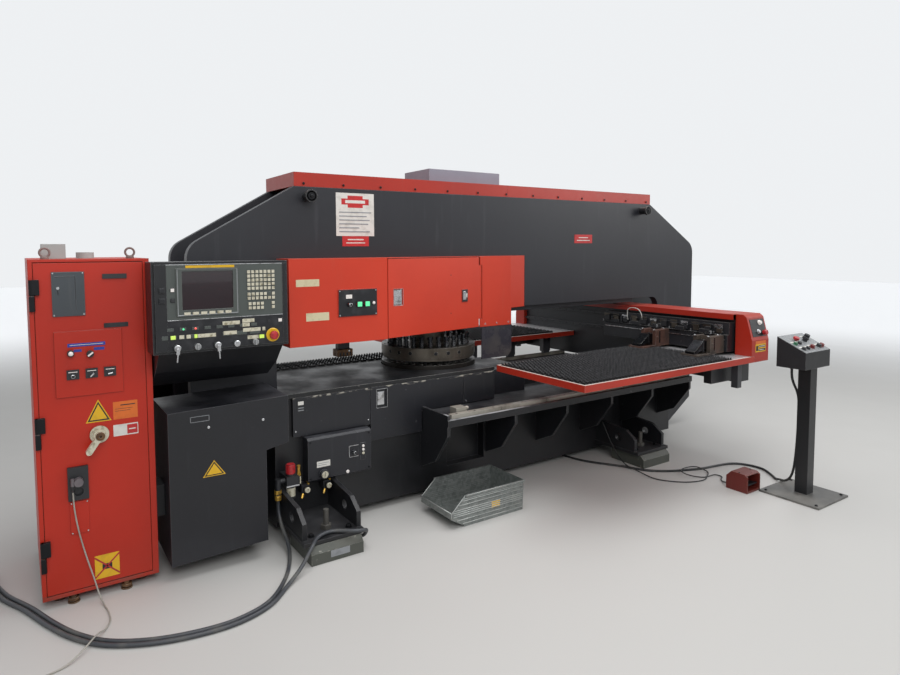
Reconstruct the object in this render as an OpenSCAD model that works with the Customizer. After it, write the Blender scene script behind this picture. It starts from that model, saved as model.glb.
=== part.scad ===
/* [Overall] */
// Length from the cabinet's left side to the frame's right end
machine_len = 5240; // [5100:10:5400]
// Width from the pedestal's front edge to the rear table's edge
machine_wid = 3280; // [3200:10:3400]
// Height of the sheet on the tables
pass_z = 838; // [828:1:844]

/* [Bridge frame] */
// Distance between the cabinet and the bridge frame
cab_gap = 245; // [230:1:260]
// Distance over both frame plates
frame_depth = 496; // [480:2:510]
// Thickness of one frame plate
plate_t = 60; // [40:2:80]
// Height of the frame plates
frame_top = 2015; // [1980:5:2060]
// Length of the flat top that carries the red cover
cap_len = 3260; // [3100:10:3400]
// Height of the red cover
cap_h = 85; // [60:1:110]
// Sheet thickness of the red cover
cap_t = 4; // [3:0.5:6]
// Length of the throat opening
throat_len = 3516; // [3500:2:3540]
// Height of the throat's upper edge
throat_top = 1205; // [1190:1:1240]
// Radius of the throat's upper corners
throat_r = 80; // [40:1:120]
// Diameter of a lifting trunnion
trunnion_d = 76; // [50:1:100]

/* [Base] */
// Clearance under the base
base_bot = 50; // [40:1:60]
// Distance from the frame's middle plane to the base's face
base_half = 420; // [400:1:430]
// Thickness of the front covers
cover_t = 25; // [15:1:30]
// Height of the levelling blocks
block_h = 90; // [80:1:100]
// Diameter of a levelling screw
level_d = 30; // [20:1:36]

/* [Turret] */
// Diameter of the turret discs
turret_d = 680; // [640:2:690]
// Pitch circle of the stations
pitch_d = 560; // [520:2:570]
// Number of stations
stations = 30; // [12:2:32]
// Diameter of a punch guide
punch_d = 40; // [30:1:42]
// Stroke of the ram
ram_stroke = 32; // [10:1:34]
// Diameter of the ram
ram_d = 110; // [80:1:120]

/* [Turret cover] */
// Sheet thickness of the turret cover
skin_t = 4; // [2:0.5:6]
// Length of the hinged cover door
door_len = 850; // [836:1:851]
// Diameter of the door's hinge pin
pin_d = 6; // [4:0.5:8]

/* [Tables] */
// Length of one side table
table_len = 1768; // [1700:2:1768]
// Distance from the frame's middle plane to the table's outer edge
table_reach = 1310; // [1290:2:1330]
// Width of one side table
table_wid = 813; // [780:1:820]
// Height of the table's red rim
rim_h = 44; // [36:1:50]
// Height of the brush tufts
brush_h = 10; // [6:1:14]

/* [Carriage] */
// Width of the carriage beam
beam_w = 180; // [150:2:200]
// Length of the cross carriage
carriage_len = 1180; // [1100:10:1200]
// Length of one workholder
clamp_len = 150; // [120:2:160]
// Diameter of the jaw pin
jaw_pin_d = 16; // [10:1:18]

/* [Cabinet] */
// Width of the control cabinet
cab_w = 495; // [480:1:500]
// Depth of the control cabinet
cab_d = 675; // [500:5:800]
// Height of the cabinet's top
cab_top = 1600; // [1500:5:1700]
// Thickness of the cabinet door
cab_door_t = 25; // [18:1:26]

/* [Operator panel] */
// Width of the operator panel
nc_w = 647; // [630:1:650]
// Height of the operator panel
nc_h = 430; // [400:1:460]
// Depth of the operator panel
nc_d = 150; // [100:1:155]

/* [Pedestal] */
// Side of the square base plate
ped_base = 383; // [300:1:420]
// Side of the square post
ped_post = 80; // [60:1:100]
// Width of the desk
desk_w = 307; // [260:1:340]
// Depth of the desk
desk_d = 186; // [150:1:220]

/* [Hidden] */
$fn = 48;

black = "#26282c";
red = "#c8382a";
orange = "#d8452a";
steel = "#8f9092";
grey = "#7d8286";

rest_gap = 0.3;
run_gap = 0.05;
seam = 0.05;

x_right = machine_len / 2;
x_left = -machine_len / 2;
y_back = machine_wid / 2;
y_front = -machine_wid / 2;
frame_len = machine_len - cab_w - cab_gap;
frame_x = x_right - frame_len / 2;
frame_y = y_back - table_reach;
half_len = frame_len / 2;
front_y = frame_y - frame_depth / 2;
rear_y = frame_y + frame_depth / 2;
inner_front_y = front_y + plate_t;
inner_rear_y = rear_y - plate_t;
slope_a = 30;
shoulder_r = 120;
shoulder_z = frame_top - (half_len - cap_len / 2) * tan(slope_a);
foot_cut = [290, 185];
tube_z = [420, 1450];
slab_half = cap_len / 2 - 130;

throat_l = frame_x - throat_len / 2;
throat_rt = frame_x + throat_len / 2;
jaw_top = 745;
jaw_end = frame_x + 190;
throat_bot = 560;

turret_x = frame_x - 525;
turret_y = frame_y;
turret_r = turret_d / 2;
pitch_r = pitch_d / 2;
punch_r = punch_d / 2;
ram_x = turret_x + pitch_r;
ram_r = ram_d / 2;
lower_z0 = 770;
lower_z1 = pass_z + 5;
upper_z0 = pass_z + 32;
upper_z1 = pass_z + 122;
punch_top = upper_z1 + 72;
die_z = pass_z + 8;
hub_r = 120;
shaft_r = 60;
hub_z = 1165;

base_front = frame_y - base_half;
base_rear = frame_y + base_half;
base_l = throat_l - 80;
base_r = frame_x + half_len - 535;
cover_face = base_front - cover_t;
deck_z1 = 815;
deck_z0 = 790;
deck_r = jaw_end - 452;
deck_hole_r = turret_r + 6;

shelf_z1 = 588;
shelf_z0 = 545;
shelf_l = frame_x - 860;
shelf_r = frame_x + 1565;
shelf_edge = frame_y - 743;
gusset_t = 20;
rail_z1 = shelf_z1 + 26;
rail_y = shelf_edge + 22;
rail_w = 40;

table_l = frame_x - 285;
table_r = table_l + table_len;
table_out = frame_y - table_reach;
table_in = table_out + table_wid;
rim_z0 = pass_z - rim_h;
mat_z0 = pass_z - 6;
strip_w = 250;

beam_r = table_r + 2 + beam_w;
beam_l = beam_r - beam_w;
beam_top = 1100;
beam_bot = 622;
beam_end = table_out + 130;
beam_far = 2 * frame_y - beam_end;
cover_top_z = 1142;

car_x0 = beam_l - 120;
car_y0 = beam_end + 15;
car_z0 = 862;
car_z1 = 1078;
clamp_x1 = car_x0 - rest_gap;
clamp_x0 = clamp_x1 - 170;
clamp_w = 140;

cab_r = x_left + cab_w;
cab_front = frame_y - 575;
cab_z0 = 40;
door_x0 = x_left + 20;
door_x1 = cab_r - 30;
cab_hinge = [x_left + 12, cab_front - 9.5];
hinge_z = [250, 820, 1440];

nc_x0 = cab_r - 23;
nc_x1 = nc_x0 + nc_w;
nc_front = cab_front - 180;
nc_z0 = 1154;
nc_z1 = nc_z0 + nc_h;

panel1_l = throat_l + 12;
panel1_r = panel1_l + 636;
panel1_y = cover_face + 1;
door_hinge = [ram_x - 25, front_y - 46];
door_angle = atan2(door_hinge[1] - panel1_y, door_hinge[0] - panel1_r);
panel3_r = door_hinge[0] + 280;
bevel_r = panel3_r + 175;
tc_z0 = 1079;
tc_z1 = 1585;
button_z = tc_z0 + 230;

ped_x = frame_x + 1286;
post_x = ped_x + 9;
ped_y = y_front + ped_base / 2;
desk_z0 = 857;
desk_z1 = 966;
desk_z2 = 1054;
desk_x0 = ped_x - desk_w / 2;
desk_y0 = ped_y - 66;
desk_slope = atan2(desk_z2 - desk_z1, desk_d);

sw_x0 = frame_x + 975;
sw_y0 = y_front + 395;
sw_w = 155;
sw_l = 150;
sw_h = 125;

module box3(x0, x1, y0, y1, z0, z1) {
    translate([x0, y0, z0]) cube([x1 - x0, y1 - y0, z1 - z0]);
}

module slab_y(y0, y1) {
    translate([0, y1, 0]) rotate([90, 0, 0]) linear_extrude(y1 - y0) children();
}

module slab_x(x0, x1) {
    translate([x0, 0, 0]) rotate([90, 0, 90]) linear_extrude(x1 - x0) children();
}

module slab_z(z0, z1) {
    translate([0, 0, z0]) linear_extrude(z1 - z0) children();
}

module rod_x(y, z, x0, x1, r) {
    translate([x0, y, z]) rotate([0, 90, 0]) cylinder(h = x1 - x0, r = r);
}

module rod_y(x, z, y0, y1, r) {
    translate([x, y1, z]) rotate([90, 0, 0]) cylinder(h = y1 - y0, r = r);
}

module rod_z(x, y, z0, z1, r) {
    translate([x, y, z0]) cylinder(h = z1 - z0, r = r);
}

module round_rect(x0, x1, y0, y1, r) {
    translate([x0 + r, y0]) square([x1 - x0 - 2 * r, y1 - y0]);
    translate([x0, y0 + r]) square([x1 - x0, y1 - y0 - 2 * r]);
    for (x = [x0 + r, x1 - r], y = [y0 + r, y1 - r])
        translate([x, y]) circle(r);
}

module front_and_rear() {
    children();
    translate([0, 2 * frame_y, 0]) mirror([0, 1, 0]) children();
}

function shoulder_arc(side) = let (
    cx = half_len - shoulder_r,
    cz = shoulder_z - shoulder_r * tan((90 - slope_a) / 2))
    [for (i = [0:6]) let (a = (90 - slope_a) * (side > 0 ? i : 6 - i) / 6)
        [side * (cx + shoulder_r * cos(a)), cz + shoulder_r * sin(a)]];

module plate_outline() {
    translate([frame_x, 0]) polygon(concat(
        [[half_len - foot_cut[0], base_bot], [half_len, base_bot + foot_cut[1]]],
        shoulder_arc(1),
        [[cap_len / 2, frame_top], [-cap_len / 2, frame_top]],
        shoulder_arc(-1),
        [[-half_len, base_bot + foot_cut[1]], [foot_cut[0] - half_len, base_bot]]));
}

module throat_outline() {
    difference() {
        round_rect(throat_l, throat_rt, throat_bot - throat_r, throat_top, throat_r);
        translate([throat_l - 1, 0]) square([throat_len + 2, throat_bot]);
        translate([throat_l - 1, 0]) square([jaw_end - throat_l + 1, jaw_top]);
    }
}

module frame_plate(y0) {
    slab_y(y0, y0 + plate_t) difference() {
        plate_outline();
        throat_outline();
    }
}

module front_plate() {
    color(black) frame_plate(front_y);
}

module rear_plate() {
    color(black) frame_plate(inner_rear_y);
}

module cross_members() {
    color(black) difference() {
        union() {
            box3(frame_x - slab_half, frame_x + slab_half, inner_front_y, inner_rear_y, frame_top - 70, frame_top);
            box3(throat_l + 220, throat_rt - 260, inner_front_y, inner_rear_y, hub_z, throat_top);
            box3(turret_x - 230, ram_x + 200, inner_front_y, inner_rear_y, throat_top + seam, frame_top - 70 - seam);
            for (x = [frame_x - half_len + 230, frame_x + half_len - 230], z = tube_z)
                rod_y(x, z, inner_front_y, inner_rear_y, 70);
            rod_z(ram_x, turret_y, tc_z0 + 11, hub_z - seam, ram_r + 45);
        }
        rod_z(turret_x, turret_y, hub_z - 1, hub_z + 135, shaft_r + run_gap);
        rod_z(ram_x, turret_y, tc_z0, hub_z + 235, ram_r + run_gap);
    }
}

module gusset(x) {
    slab_x(x, x + gusset_t) polygon([[shelf_edge + 10, shelf_z0], [shelf_edge + 10, shelf_z0 - 60],
        [shelf_edge + 150, shelf_z0 - 250], [base_front, shelf_z0 - 330], [base_front, shelf_z0]]);
}

module base_side() {
    difference() {
        union() {
            box3(base_l, deck_r, base_front, front_y, base_bot, deck_z0);
            box3(deck_r, base_r, base_front, front_y, base_bot, throat_bot);
        }
        translate([turret_x, turret_y, jaw_top]) cylinder(h = 60, r = deck_hole_r);
    }
}

module base_frame() {
    color(black) difference() {
        union() {
            front_and_rear() base_side();
            box3(base_l, jaw_end, inner_front_y, inner_rear_y, base_bot, jaw_top);
            box3(jaw_end, base_r, inner_front_y, inner_rear_y, base_bot, throat_bot);
            for (y = [frame_y - 100, frame_y + 100])
                box3(jaw_end + 30, base_r, y - 20, y + 20, throat_bot, beam_bot - 14);
            box3(frame_x + 490, frame_x + 550, inner_front_y + 20, inner_front_y + 80, rest_gap, base_bot);
            box3(frame_x - 1480, frame_x - 1420, inner_front_y + 3, inner_front_y + 60, rest_gap, base_bot);
        }
        rod_z(turret_x, turret_y, 600, jaw_top + 1, shaft_r + run_gap);
        box3(turret_x - 125, turret_x + 188, base_front - 1, base_front + 70, 180, 465);
    }
}

module foot_bracket(x, side) {
    translate([x, frame_y, 0]) mirror([0, side > 0 ? 1 : 0, 0]) {
        for (dx = [-170, 145])
            difference() {
                slab_x(dx, dx + 25) polygon([[-base_half, block_h + 22], [-base_half - 385, block_h + 22],
                    [-base_half - 385, block_h + 110], [-base_half - 300, block_h + 170], [-base_half, block_h + 200]]);
                rod_x(-base_half - 230, block_h + 100, dx - 1, dx + 26, 28);
            }
        difference() {
            box3(-175, 175, -base_half - 420, -base_half, block_h, block_h + 22);
            rod_z(0, -base_half - 300, block_h - 1, block_h + 23, level_d / 2 + 1);
        }
    }
}

foot_x = [throat_l + 95, frame_x + 960];

module foot_brackets() {
    color(black) for (x = foot_x, side = [0, 1]) foot_bracket(x, side);
}

module levelling_block(x, side) {
    translate([x, frame_y, 0]) mirror([0, side > 0 ? 1 : 0, 0]) {
        slab_x(-150, 150) polygon([[-base_half - 455, 0], [-base_half - 150, 0], [-base_half - 150, block_h],
            [-base_half - 425, block_h], [-base_half - 455, block_h - 30]]);
        rod_z(0, -base_half - 300, block_h - 1, block_h + 130, level_d / 2);
        translate([0, -base_half - 300, block_h + 22]) cylinder(h = 24, r = level_d, $fn = 6);
    }
}

module levelling_blocks() {
    color("#9aa39a") for (x = foot_x, side = [0, 1]) levelling_block(x, side);
}

module top_cover(x0, x1) {
    difference() {
        box3(x0, x1, front_y, rear_y, frame_top, frame_top + cap_h);
        box3(x0 + cap_t, x1 - cap_t, front_y + cap_t, rear_y - cap_t, frame_top - 1, frame_top + cap_h - cap_t);
    }
}

module top_covers() {
    color(red) {
        top_cover(frame_x - cap_len / 2, frame_x + 16);
        top_cover(frame_x + 17, frame_x + cap_len / 2);
    }
}

module ram_cover_box() {
    color("#8d8c9c") difference() {
        box3(ram_x - 370, ram_x + 250, frame_y - 165, frame_y + 165, frame_top + cap_h, frame_top + cap_h + 92);
        box3(ram_x - 366, ram_x + 246, frame_y - 161, frame_y + 161, frame_top + cap_h - 1, frame_top + cap_h + 88);
    }
}

module trunnion(x, y, out) {
    translate([x, y, frame_top - 60]) rotate([90, 0, 0]) mirror([0, 0, out > 0 ? 0 : 1]) {
        cylinder(h = 62, r = trunnion_d / 2 - 8);
        translate([0, 0, 62]) cylinder(h = 16, r = trunnion_d / 2);
    }
}

module lifting_trunnions() {
    color("#1c1d20") for (x = [frame_x - cap_len / 2 + 80, frame_x + cap_len / 2 - 115]) {
        trunnion(x, front_y, 1);
        trunnion(x, rear_y, 0);
    }
}

module cover_plan(inset) {
    polygon([[panel1_l + inset, front_y + 1], [panel1_l + inset, panel1_y + inset],
        [panel1_r, panel1_y + inset], [door_hinge[0], door_hinge[1] + inset],
        [panel3_r, door_hinge[1] + inset], [bevel_r - 4 * inset, front_y], [bevel_r - 4 * inset, front_y + 1]]);
}

door_z0 = tc_z0 + 4;
door_z1 = tc_z1 - skin_t - 3;
knuckle = 60;
knuckle_r = pin_d / 2 + 4;

module turret_cover_front() {
    difference() {
        slab_z(tc_z0, tc_z1) cover_plan(0);
        slab_z(tc_z0 - 1, tc_z1 - skin_t) cover_plan(skin_t);
        box3(panel1_l - 1, bevel_r + 1, front_y, front_y + 2, tc_z0 - 1, tc_z1 + 1);
        translate([door_hinge[0], door_hinge[1], 0]) rotate([0, 0, door_angle])
            box3(-door_len - 2, 0, -40, 60, tc_z0 - 1, tc_z1 - skin_t);
        box3(door_hinge[0] - 12, door_hinge[0] + 14, door_hinge[1] - 20, door_hinge[1] + 30,
            tc_z0 - 1, tc_z1 - skin_t);
        slab_y(front_y - 200, front_y + 2) polygon([[panel3_r + 8, tc_z0 - 1], [bevel_r + 9, tc_z0 - 1],
            [bevel_r + 9, tc_z0 + 122], [panel3_r + 8, tc_z0 + 122]]);
    }
    box3(panel1_l + 300, panel1_l + 560, panel1_y - 6, panel1_y, 1236, 1400);
    rod_y(panel1_l + 434, button_z, panel1_y - 16, panel1_y - 6, 16);
    rod_y(panel1_l + 486, button_z, panel1_y - 16, panel1_y - 6, 16);
    rod_y(panel1_l + 372, button_z, panel1_y - 22, panel1_y - 6, 9);
}

module door_post() {
    translate([door_hinge[0], door_hinge[1], 0]) {
        for (z = [tc_z0, tc_z1 - skin_t - knuckle])
            rod_z(0, 0, z, z + knuckle, knuckle_r);
        rod_z(0, 0, tc_z0 + 1, tc_z1 - skin_t - 1, pin_d / 2);
        for (z = [tc_z0, tc_z1 - skin_t - knuckle])
            box3(knuckle_r - 2, 20, -skin_t / 2, skin_t / 2, z, z + knuckle);
        box3(14, 20, -skin_t / 2, 26, tc_z0, tc_z1 - skin_t);
    }
}

module turret_covers() {
    color(orange) {
        turret_cover_front();
        door_post();
        difference() {
            box3(panel1_l, bevel_r, rear_y, rear_y + 190, tc_z0, tc_z1);
            box3(panel1_l + skin_t, bevel_r - skin_t, rear_y - 1, rear_y + 190 - skin_t, tc_z0 - 1, tc_z1 - skin_t);
        }
    }
}

module turret_door() {
    color(orange) translate([door_hinge[0], door_hinge[1], 0]) rotate([0, 0, door_angle]) difference() {
        union() {
            difference() {
                box3(-door_len, -knuckle_r + 1, -skin_t, 24, door_z0, door_z1);
                box3(3 - door_len, -knuckle_r - 2, -1, 25, door_z0 + 3, door_z1 - 3);
            }
            rod_z(0, 0, tc_z0 + knuckle + 1, tc_z1 - skin_t - knuckle - 1, knuckle_r);
            box3(-door_len + 30, -door_len + 132, -1, 22, 1272, 1398);
            box3(-198, -138, -skin_t - 4, -skin_t + 1, 1270, 1358);
        }
        rod_z(0, 0, tc_z0, tc_z1, pin_d / 2 + run_gap);
        box3(-20, 20, -12, 26, tc_z0 - 1, tc_z0 + knuckle + 0.5);
        box3(-20, 20, -12, 26, tc_z1 - skin_t - knuckle - 0.5, tc_z1);
        box3(-door_len + 44, -door_len + 118, -skin_t - 1, 14, 1285, 1386);
    }
}

module door_latch() {
    color("#c9cccf") translate([door_hinge[0], door_hinge[1], 0]) rotate([0, 0, door_angle])
        translate([-door_len + 110, 3, 0]) {
            box3(-62, 0, -4, 1, 1289, 1382);
            rod_z(0, 0, 1285 + rest_gap, 1386 - rest_gap, 4.5);
        }
}

module turret_guard() {
    gl = ram_x - 10;
    gr = gl + 278;
    gy = door_hinge[1] + skin_t;
    color("#35363c") union() {
        slab_y(gy, gy + 6) difference() {
            union() {
                translate([gl, pass_z + 8]) square([gr - gl, tc_z0 - pass_z - 8]);
                translate([gl + 8, tc_z0 - 1]) square([gr - gl - 20, 41]);
            }
            translate([gr - 60, pass_z + 8]) difference() {
                translate([0, -1]) square([61, 61]);
                translate([0, 60]) circle(60);
            }
        }
        box3(gr - 6, gr, gy + 5, front_y, pass_z + 70, tc_z0);
    }
}

module fixed_tables() {
    color("#2b2c30") difference() {
        union() {
            box3(base_l + 20, deck_r, cover_face, front_y, deck_z0, deck_z1);
            box3(base_l + 20, deck_r, rear_y, frame_y + 490, deck_z0, deck_z1);
            for (i = [0:17])
                box3(throat_l + 90 + i * 66, throat_l + 136 + i * 66, rear_y + 20, frame_y + 470, deck_z1, deck_z1 + 12);
            box3(throat_l + 2, turret_x, front_y, rear_y, deck_z0, deck_z1);
            for (x = [throat_l + 40, throat_l + 480])
                box3(x, x + 40, inner_front_y, inner_rear_y, jaw_top, deck_z0);
        }
        rod_z(turret_x, turret_y, deck_z0 - 1, deck_z1 + 30, deck_hole_r);
    }
}

split_a = throat_l + 520;
split_b = split_a + 710;

module cover_plate(x0, x1, z0) {
    box3(x0 + 2, x1 - 2, cover_face, base_front, z0, deck_z0 - 2);
}

module front_covers() {
    color(black) {
        front_and_rear() {
            cover_plate(base_l + 100, split_a, 560);
            cover_plate(split_b, deck_r, shelf_z1 + 6);
            service_cover();
        }
    }
}

module service_cover() {
    difference() {
        union() {
            cover_plate(split_a, split_b, shelf_z1 + 6);
            box3(split_a + 2, shelf_l - 6, cover_face, base_front, 455, shelf_z1 + 7);
        }
        box3(split_a + 44, split_a + 118, cover_face - 1, cover_face + 12, 655, 770);
    }
    box3(split_a + 52, split_a + 100, cover_face + 6, cover_face + 12, 670, 755);
}

module air_panel() {
    px = throat_l + 85;
    color("#303136") union() {
        slab_x(px, px + 406) polygon([[base_front, 295], [base_front - 70, 295], [base_front - 82, 307],
            [base_front - 82, 542], [base_front - 70, 554], [base_front, 554]]);
        rod_y(px + 95, 335, base_front - 96, base_front - 82, 27);
        box3(px + 257, px + 322, base_front - 86, base_front - 82, 400, 470);
        rod_y(px + 290, 428, base_front - 98, base_front - 86, 13);
        box3(px + 334, px + 369, base_front - 85, base_front - 82, 371, 476);
    }
}

unit_x = throat_l - 22;
unit_y = base_front - 85;

module air_unit() {
    color("#222428") {
        box3(unit_x - 35, unit_x + 35, unit_y - 35, base_front, 318, 370);
        rod_z(unit_x, unit_y, 370, 378, 30);
        rod_z(unit_x, unit_y, 378, 432, 24);
        rod_z(unit_x, unit_y, 236, 318, 24);
        rod_z(unit_x, unit_y, 226, 236, 12);
        for (dx = [97, 231]) {
            box3(unit_x + dx - 24, unit_x + dx + 24, base_front - 62, base_front, 236, 286);
            rod_y(unit_x + dx, 262, base_front - 86, base_front - 62, 15);
        }
        rod_x(unit_y, 344, unit_x - 75, unit_x - 35, 14);
        rod_z(unit_x - 75, unit_y, 240, 358, 17);
    }
}

module guide_shelf() {
    box3(shelf_l, shelf_r, shelf_edge, base_front, shelf_z0, shelf_z1);
    for (x = [shelf_l, shelf_l + 540, shelf_l + 1010, shelf_l + 1468, shelf_l + 1930, shelf_r - gusset_t])
        gusset(x);
    box3(shelf_l, shelf_l + 16, shelf_edge + 6, cover_face - 3, shelf_z1, shelf_z1 + 30);
}

module guide_shelves() {
    color(black) front_and_rear() guide_shelf();
}

module shelf_rail() {
    for (i = [0:5])
        box3(shelf_l + 40 + i * 395, shelf_l + 430 + i * 395, rail_y, rail_y + rail_w, shelf_z1, rail_z1);
    box3(shelf_l + 110, shelf_l + 190, rail_y + rail_w + 10, rail_y + rail_w + 80, shelf_z1, shelf_z1 + 48);
    rod_x(rail_y + rail_w + 45, shelf_z1 + 30, shelf_l + 190, shelf_l + 222, 14);
}

module shelf_rails() {
    color(steel) front_and_rear() shelf_rail();
}

bin_x0 = turret_x - 333;
bin_x1 = turret_x + 103;
bin_y0 = shelf_edge - 183;
bin_y1 = bin_y0 + 330;
bin_h = 190;

module bin_shape(inset) {
    slab_y(bin_y0 + inset, bin_y1 - inset) polygon([[bin_x0 - 8 + inset, inset], [bin_x1 - inset, inset],
        [bin_x1 + 8 - inset, bin_h + inset], [bin_x0 - 4 + inset, bin_h + inset],
        [bin_x0 - 110 + inset, 95 + inset], [bin_x0 - 110 + inset, 60 + inset]]);
}

module scrap_bin() {
    color("#5b5f62") {
        difference() {
            bin_shape(0);
            translate([0, 0, 0.5]) bin_shape(3);
        }
        for (z = [30, 52, 118, 140], y = [bin_y0 - 3, bin_y1])
            box3(bin_x0 + 10, bin_x1 - 6, y, y + 3, z, z + 9);
        box3(bin_x0 - 10, bin_x1 + 8, bin_y0 - 10, bin_y0, bin_h - 14, bin_h);
        box3(bin_x0 - 10, bin_x1 + 8, bin_y1, bin_y1 + 10, bin_h - 14, bin_h);
    }
}

lc_front = frame_y - 645;
lc_x0 = cab_r + 48;
lc_x1 = base_l;

module left_outline(inset) {
    polygon([[lc_x0 + inset, 78 + inset], [lc_x1 - 124 - inset, 94 + inset], [lc_x1 - 124 - inset, 582 + inset],
        [lc_x1 - inset, 606 + inset], [lc_x1 - inset, 860 - inset], [lc_x0 + inset, 845 - inset]]);
}

module left_cover() {
    color(black) {
        difference() {
            slab_y(lc_front, front_y) left_outline(0);
            slab_y(lc_front + 4, front_y + 1) left_outline(4);
        }
        translate([0, 2 * frame_y, 0]) mirror([0, 1, 0]) difference() {
            slab_y(lc_front + 200, front_y) left_outline(0);
            slab_y(lc_front + 204, front_y + 1) left_outline(4);
        }
    }
}

module nc_box() {
    color("#2a2b2f") {
        box3(nc_x0, nc_x1, nc_front, nc_front + nc_d, nc_z0, nc_z1);
        box3(cab_r + 60, nc_x1 - 60, nc_front + nc_d, front_y, 1180, 1480);
        slab_x(nc_x0 + 30, nc_x1 - 12) polygon([[nc_front + 40, nc_z0], [nc_front + 150, nc_z0 - 110],
            [nc_front + 300, nc_z0 - 200], [front_y, nc_z0 - 230], [front_y, nc_z0]]);
    }
}

module key_grid(x0, z1, nx, nz, pitch, size, depth) {
    for (i = [0:nx - 1], j = [0:nz - 1])
        box3(x0 + i * pitch, x0 + i * pitch + size, nc_front - 12 - depth, nc_front - 11,
            z1 - j * pitch - size, z1 - j * pitch);
}

module nc_panel() {
    sx = nc_x0 + 130;
    color("#6f7a73") difference() {
        union() {
            box3(nc_x0 + 12, nc_x1 - 12, nc_front - 12, nc_front, nc_z0 + 12, nc_z1 - 12);
            box3(sx - 26, sx + 262, nc_front - 20, nc_front - 11, nc_z1 - 256, nc_z1 - 30);
            key_grid(nc_x0 + 436, nc_z1 - 46, 7, 5, 20.5, 16, 4);
            key_grid(nc_x0 + 436, nc_z1 - 156, 7, 2, 20.5, 16, 4);
            key_grid(nc_x0 + 440, nc_z1 - 204, 4, 2, 20.5, 16, 4);
            key_grid(nc_x0 + 28, nc_z1 - 118, 1, 2, 48, 26, 6);
            for (i = [0:5])
                box3(sx + 6 + i * 38, sx + 34 + i * 38, nc_front - 22, nc_front - 19, nc_z1 - 250, nc_z1 - 236);
            for (i = [0, 2, 3])
                rod_y(nc_x0 + 100 + i * 92, nc_z0 + 29, nc_front - 34, nc_front - 11, 15);
            for (i = [0:7])
                box3(nc_x0 + 60 + i * 56, nc_x0 + 88 + i * 56, nc_front - 16, nc_front - 11, nc_z0 + 108, nc_z0 + 122);
            for (i = [0:2])
                box3(nc_x0 + 36 + i * 38, nc_x0 + 62 + i * 38, nc_front - 16, nc_front - 11, nc_z0 + 69, nc_z0 + 87);
            box3(nc_x0 + 168, nc_x0 + 280, nc_front - 16, nc_front - 11, nc_z0 + 69, nc_z0 + 87);
            for (i = [0:2])
                box3(nc_x0 + 312 + i * 66, nc_x0 + 362 + i * 66, nc_front - 16, nc_front - 11, nc_z0 + 69, nc_z0 + 87);
        }
        box3(sx, sx + 236, nc_front - 21, nc_front - 14, nc_z1 - 226, nc_z1 - 44);
        rod_y(nc_x0 + 192, nc_z0 + 29, nc_front - 21, nc_front - 4, 5.05);
        rod_y(nc_x0 + 468, nc_z0 + 29, nc_front - 21, nc_front - 4, 5.05);
        rod_y(nc_x1 - 86, nc_z0 + 56, nc_front - 21, nc_front + 1, 10.05);
    }
}

module panel_knob(x) {
    rod_y(x, nc_z0 + 29, nc_front - 12.3, nc_front - 4.3, 5);
    rod_y(x, nc_z0 + 29, nc_front - 34, nc_front - 12.3, 15);
    box3(x - 4, x + 4, nc_front - 40, nc_front - 34, nc_z0 + 15, nc_z0 + 43);
}

module nc_mode_knob() {
    color("#c4c6c8") panel_knob(nc_x0 + 192);
}

module nc_feed_knob() {
    color("#c4c6c8") panel_knob(nc_x0 + 468);
}

module nc_stop() {
    color("#c94a55") {
        rod_y(nc_x1 - 86, nc_z0 + 56, nc_front - 28, nc_front - 8, 10);
        rod_y(nc_x1 - 86, nc_z0 + 56, nc_front - 42, nc_front - 28, 21);
    }
}

module cabinet() {
    color(orange) {
        difference() {
            box3(x_left, cab_r, cab_front + cab_door_t, cab_front + cab_door_t + cab_d, cab_z0, cab_top);
            box3(door_x0 + 20, door_x1 - 20, cab_front, cab_front + cab_door_t + cab_d - 20, cab_z0 + 40, cab_top - 30);
        }
        box3(x_left, door_x0 - 2, cab_front, cab_front + cab_door_t, cab_z0, cab_top);
        box3(door_x1 + 2, cab_r, cab_front, cab_front + cab_door_t, cab_z0, cab_top);
        box3(door_x0 - 2, door_x1 + 2, cab_front, cab_front + cab_door_t, cab_top - 13, cab_top);
        box3(door_x0 - 2, door_x1 + 2, cab_front, cab_front + cab_door_t, cab_z0, cab_z0 + 18);
        box3(cab_r, lc_x0, cab_front + 60, cab_front + 180, 300, 460);
    }
}

module cabinet_hardware() {
    color("#2a2a2c") {
        for (x = [x_left + 70, cab_r - 70]) {
            translate([x, cab_front + 90, cab_top]) {
                cylinder(h = 10, r = 18);
                translate([0, 0, 30]) rotate([90, 0, 0]) rotate_extrude() translate([20, 0]) circle(5);
            }
            for (y = [cab_front + 90, cab_front + cab_d - 60]) {
                rod_z(x, y, 8, cab_z0, 8);
                rod_z(x, y, 0, 10, 26);
            }
        }
        box3(x_left + 60, x_left + 160, cab_front + 180, cab_front + 260, cab_top, cab_top + 70);
        rod_z(x_left + 250, cab_front + 300, cab_top, cab_top + 30, 40);
        for (z = hinge_z)
            rod_z(cab_hinge[0], cab_hinge[1], z - 70, z - 1, 9);
        for (z = hinge_z)
            box3(x_left + 2, cab_hinge[0], cab_hinge[1], cab_front, z - 70, z - 2);
        for (z = hinge_z)
            rod_z(cab_hinge[0], cab_hinge[1], z - 2, z + 60, 4);
    }
}

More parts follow.
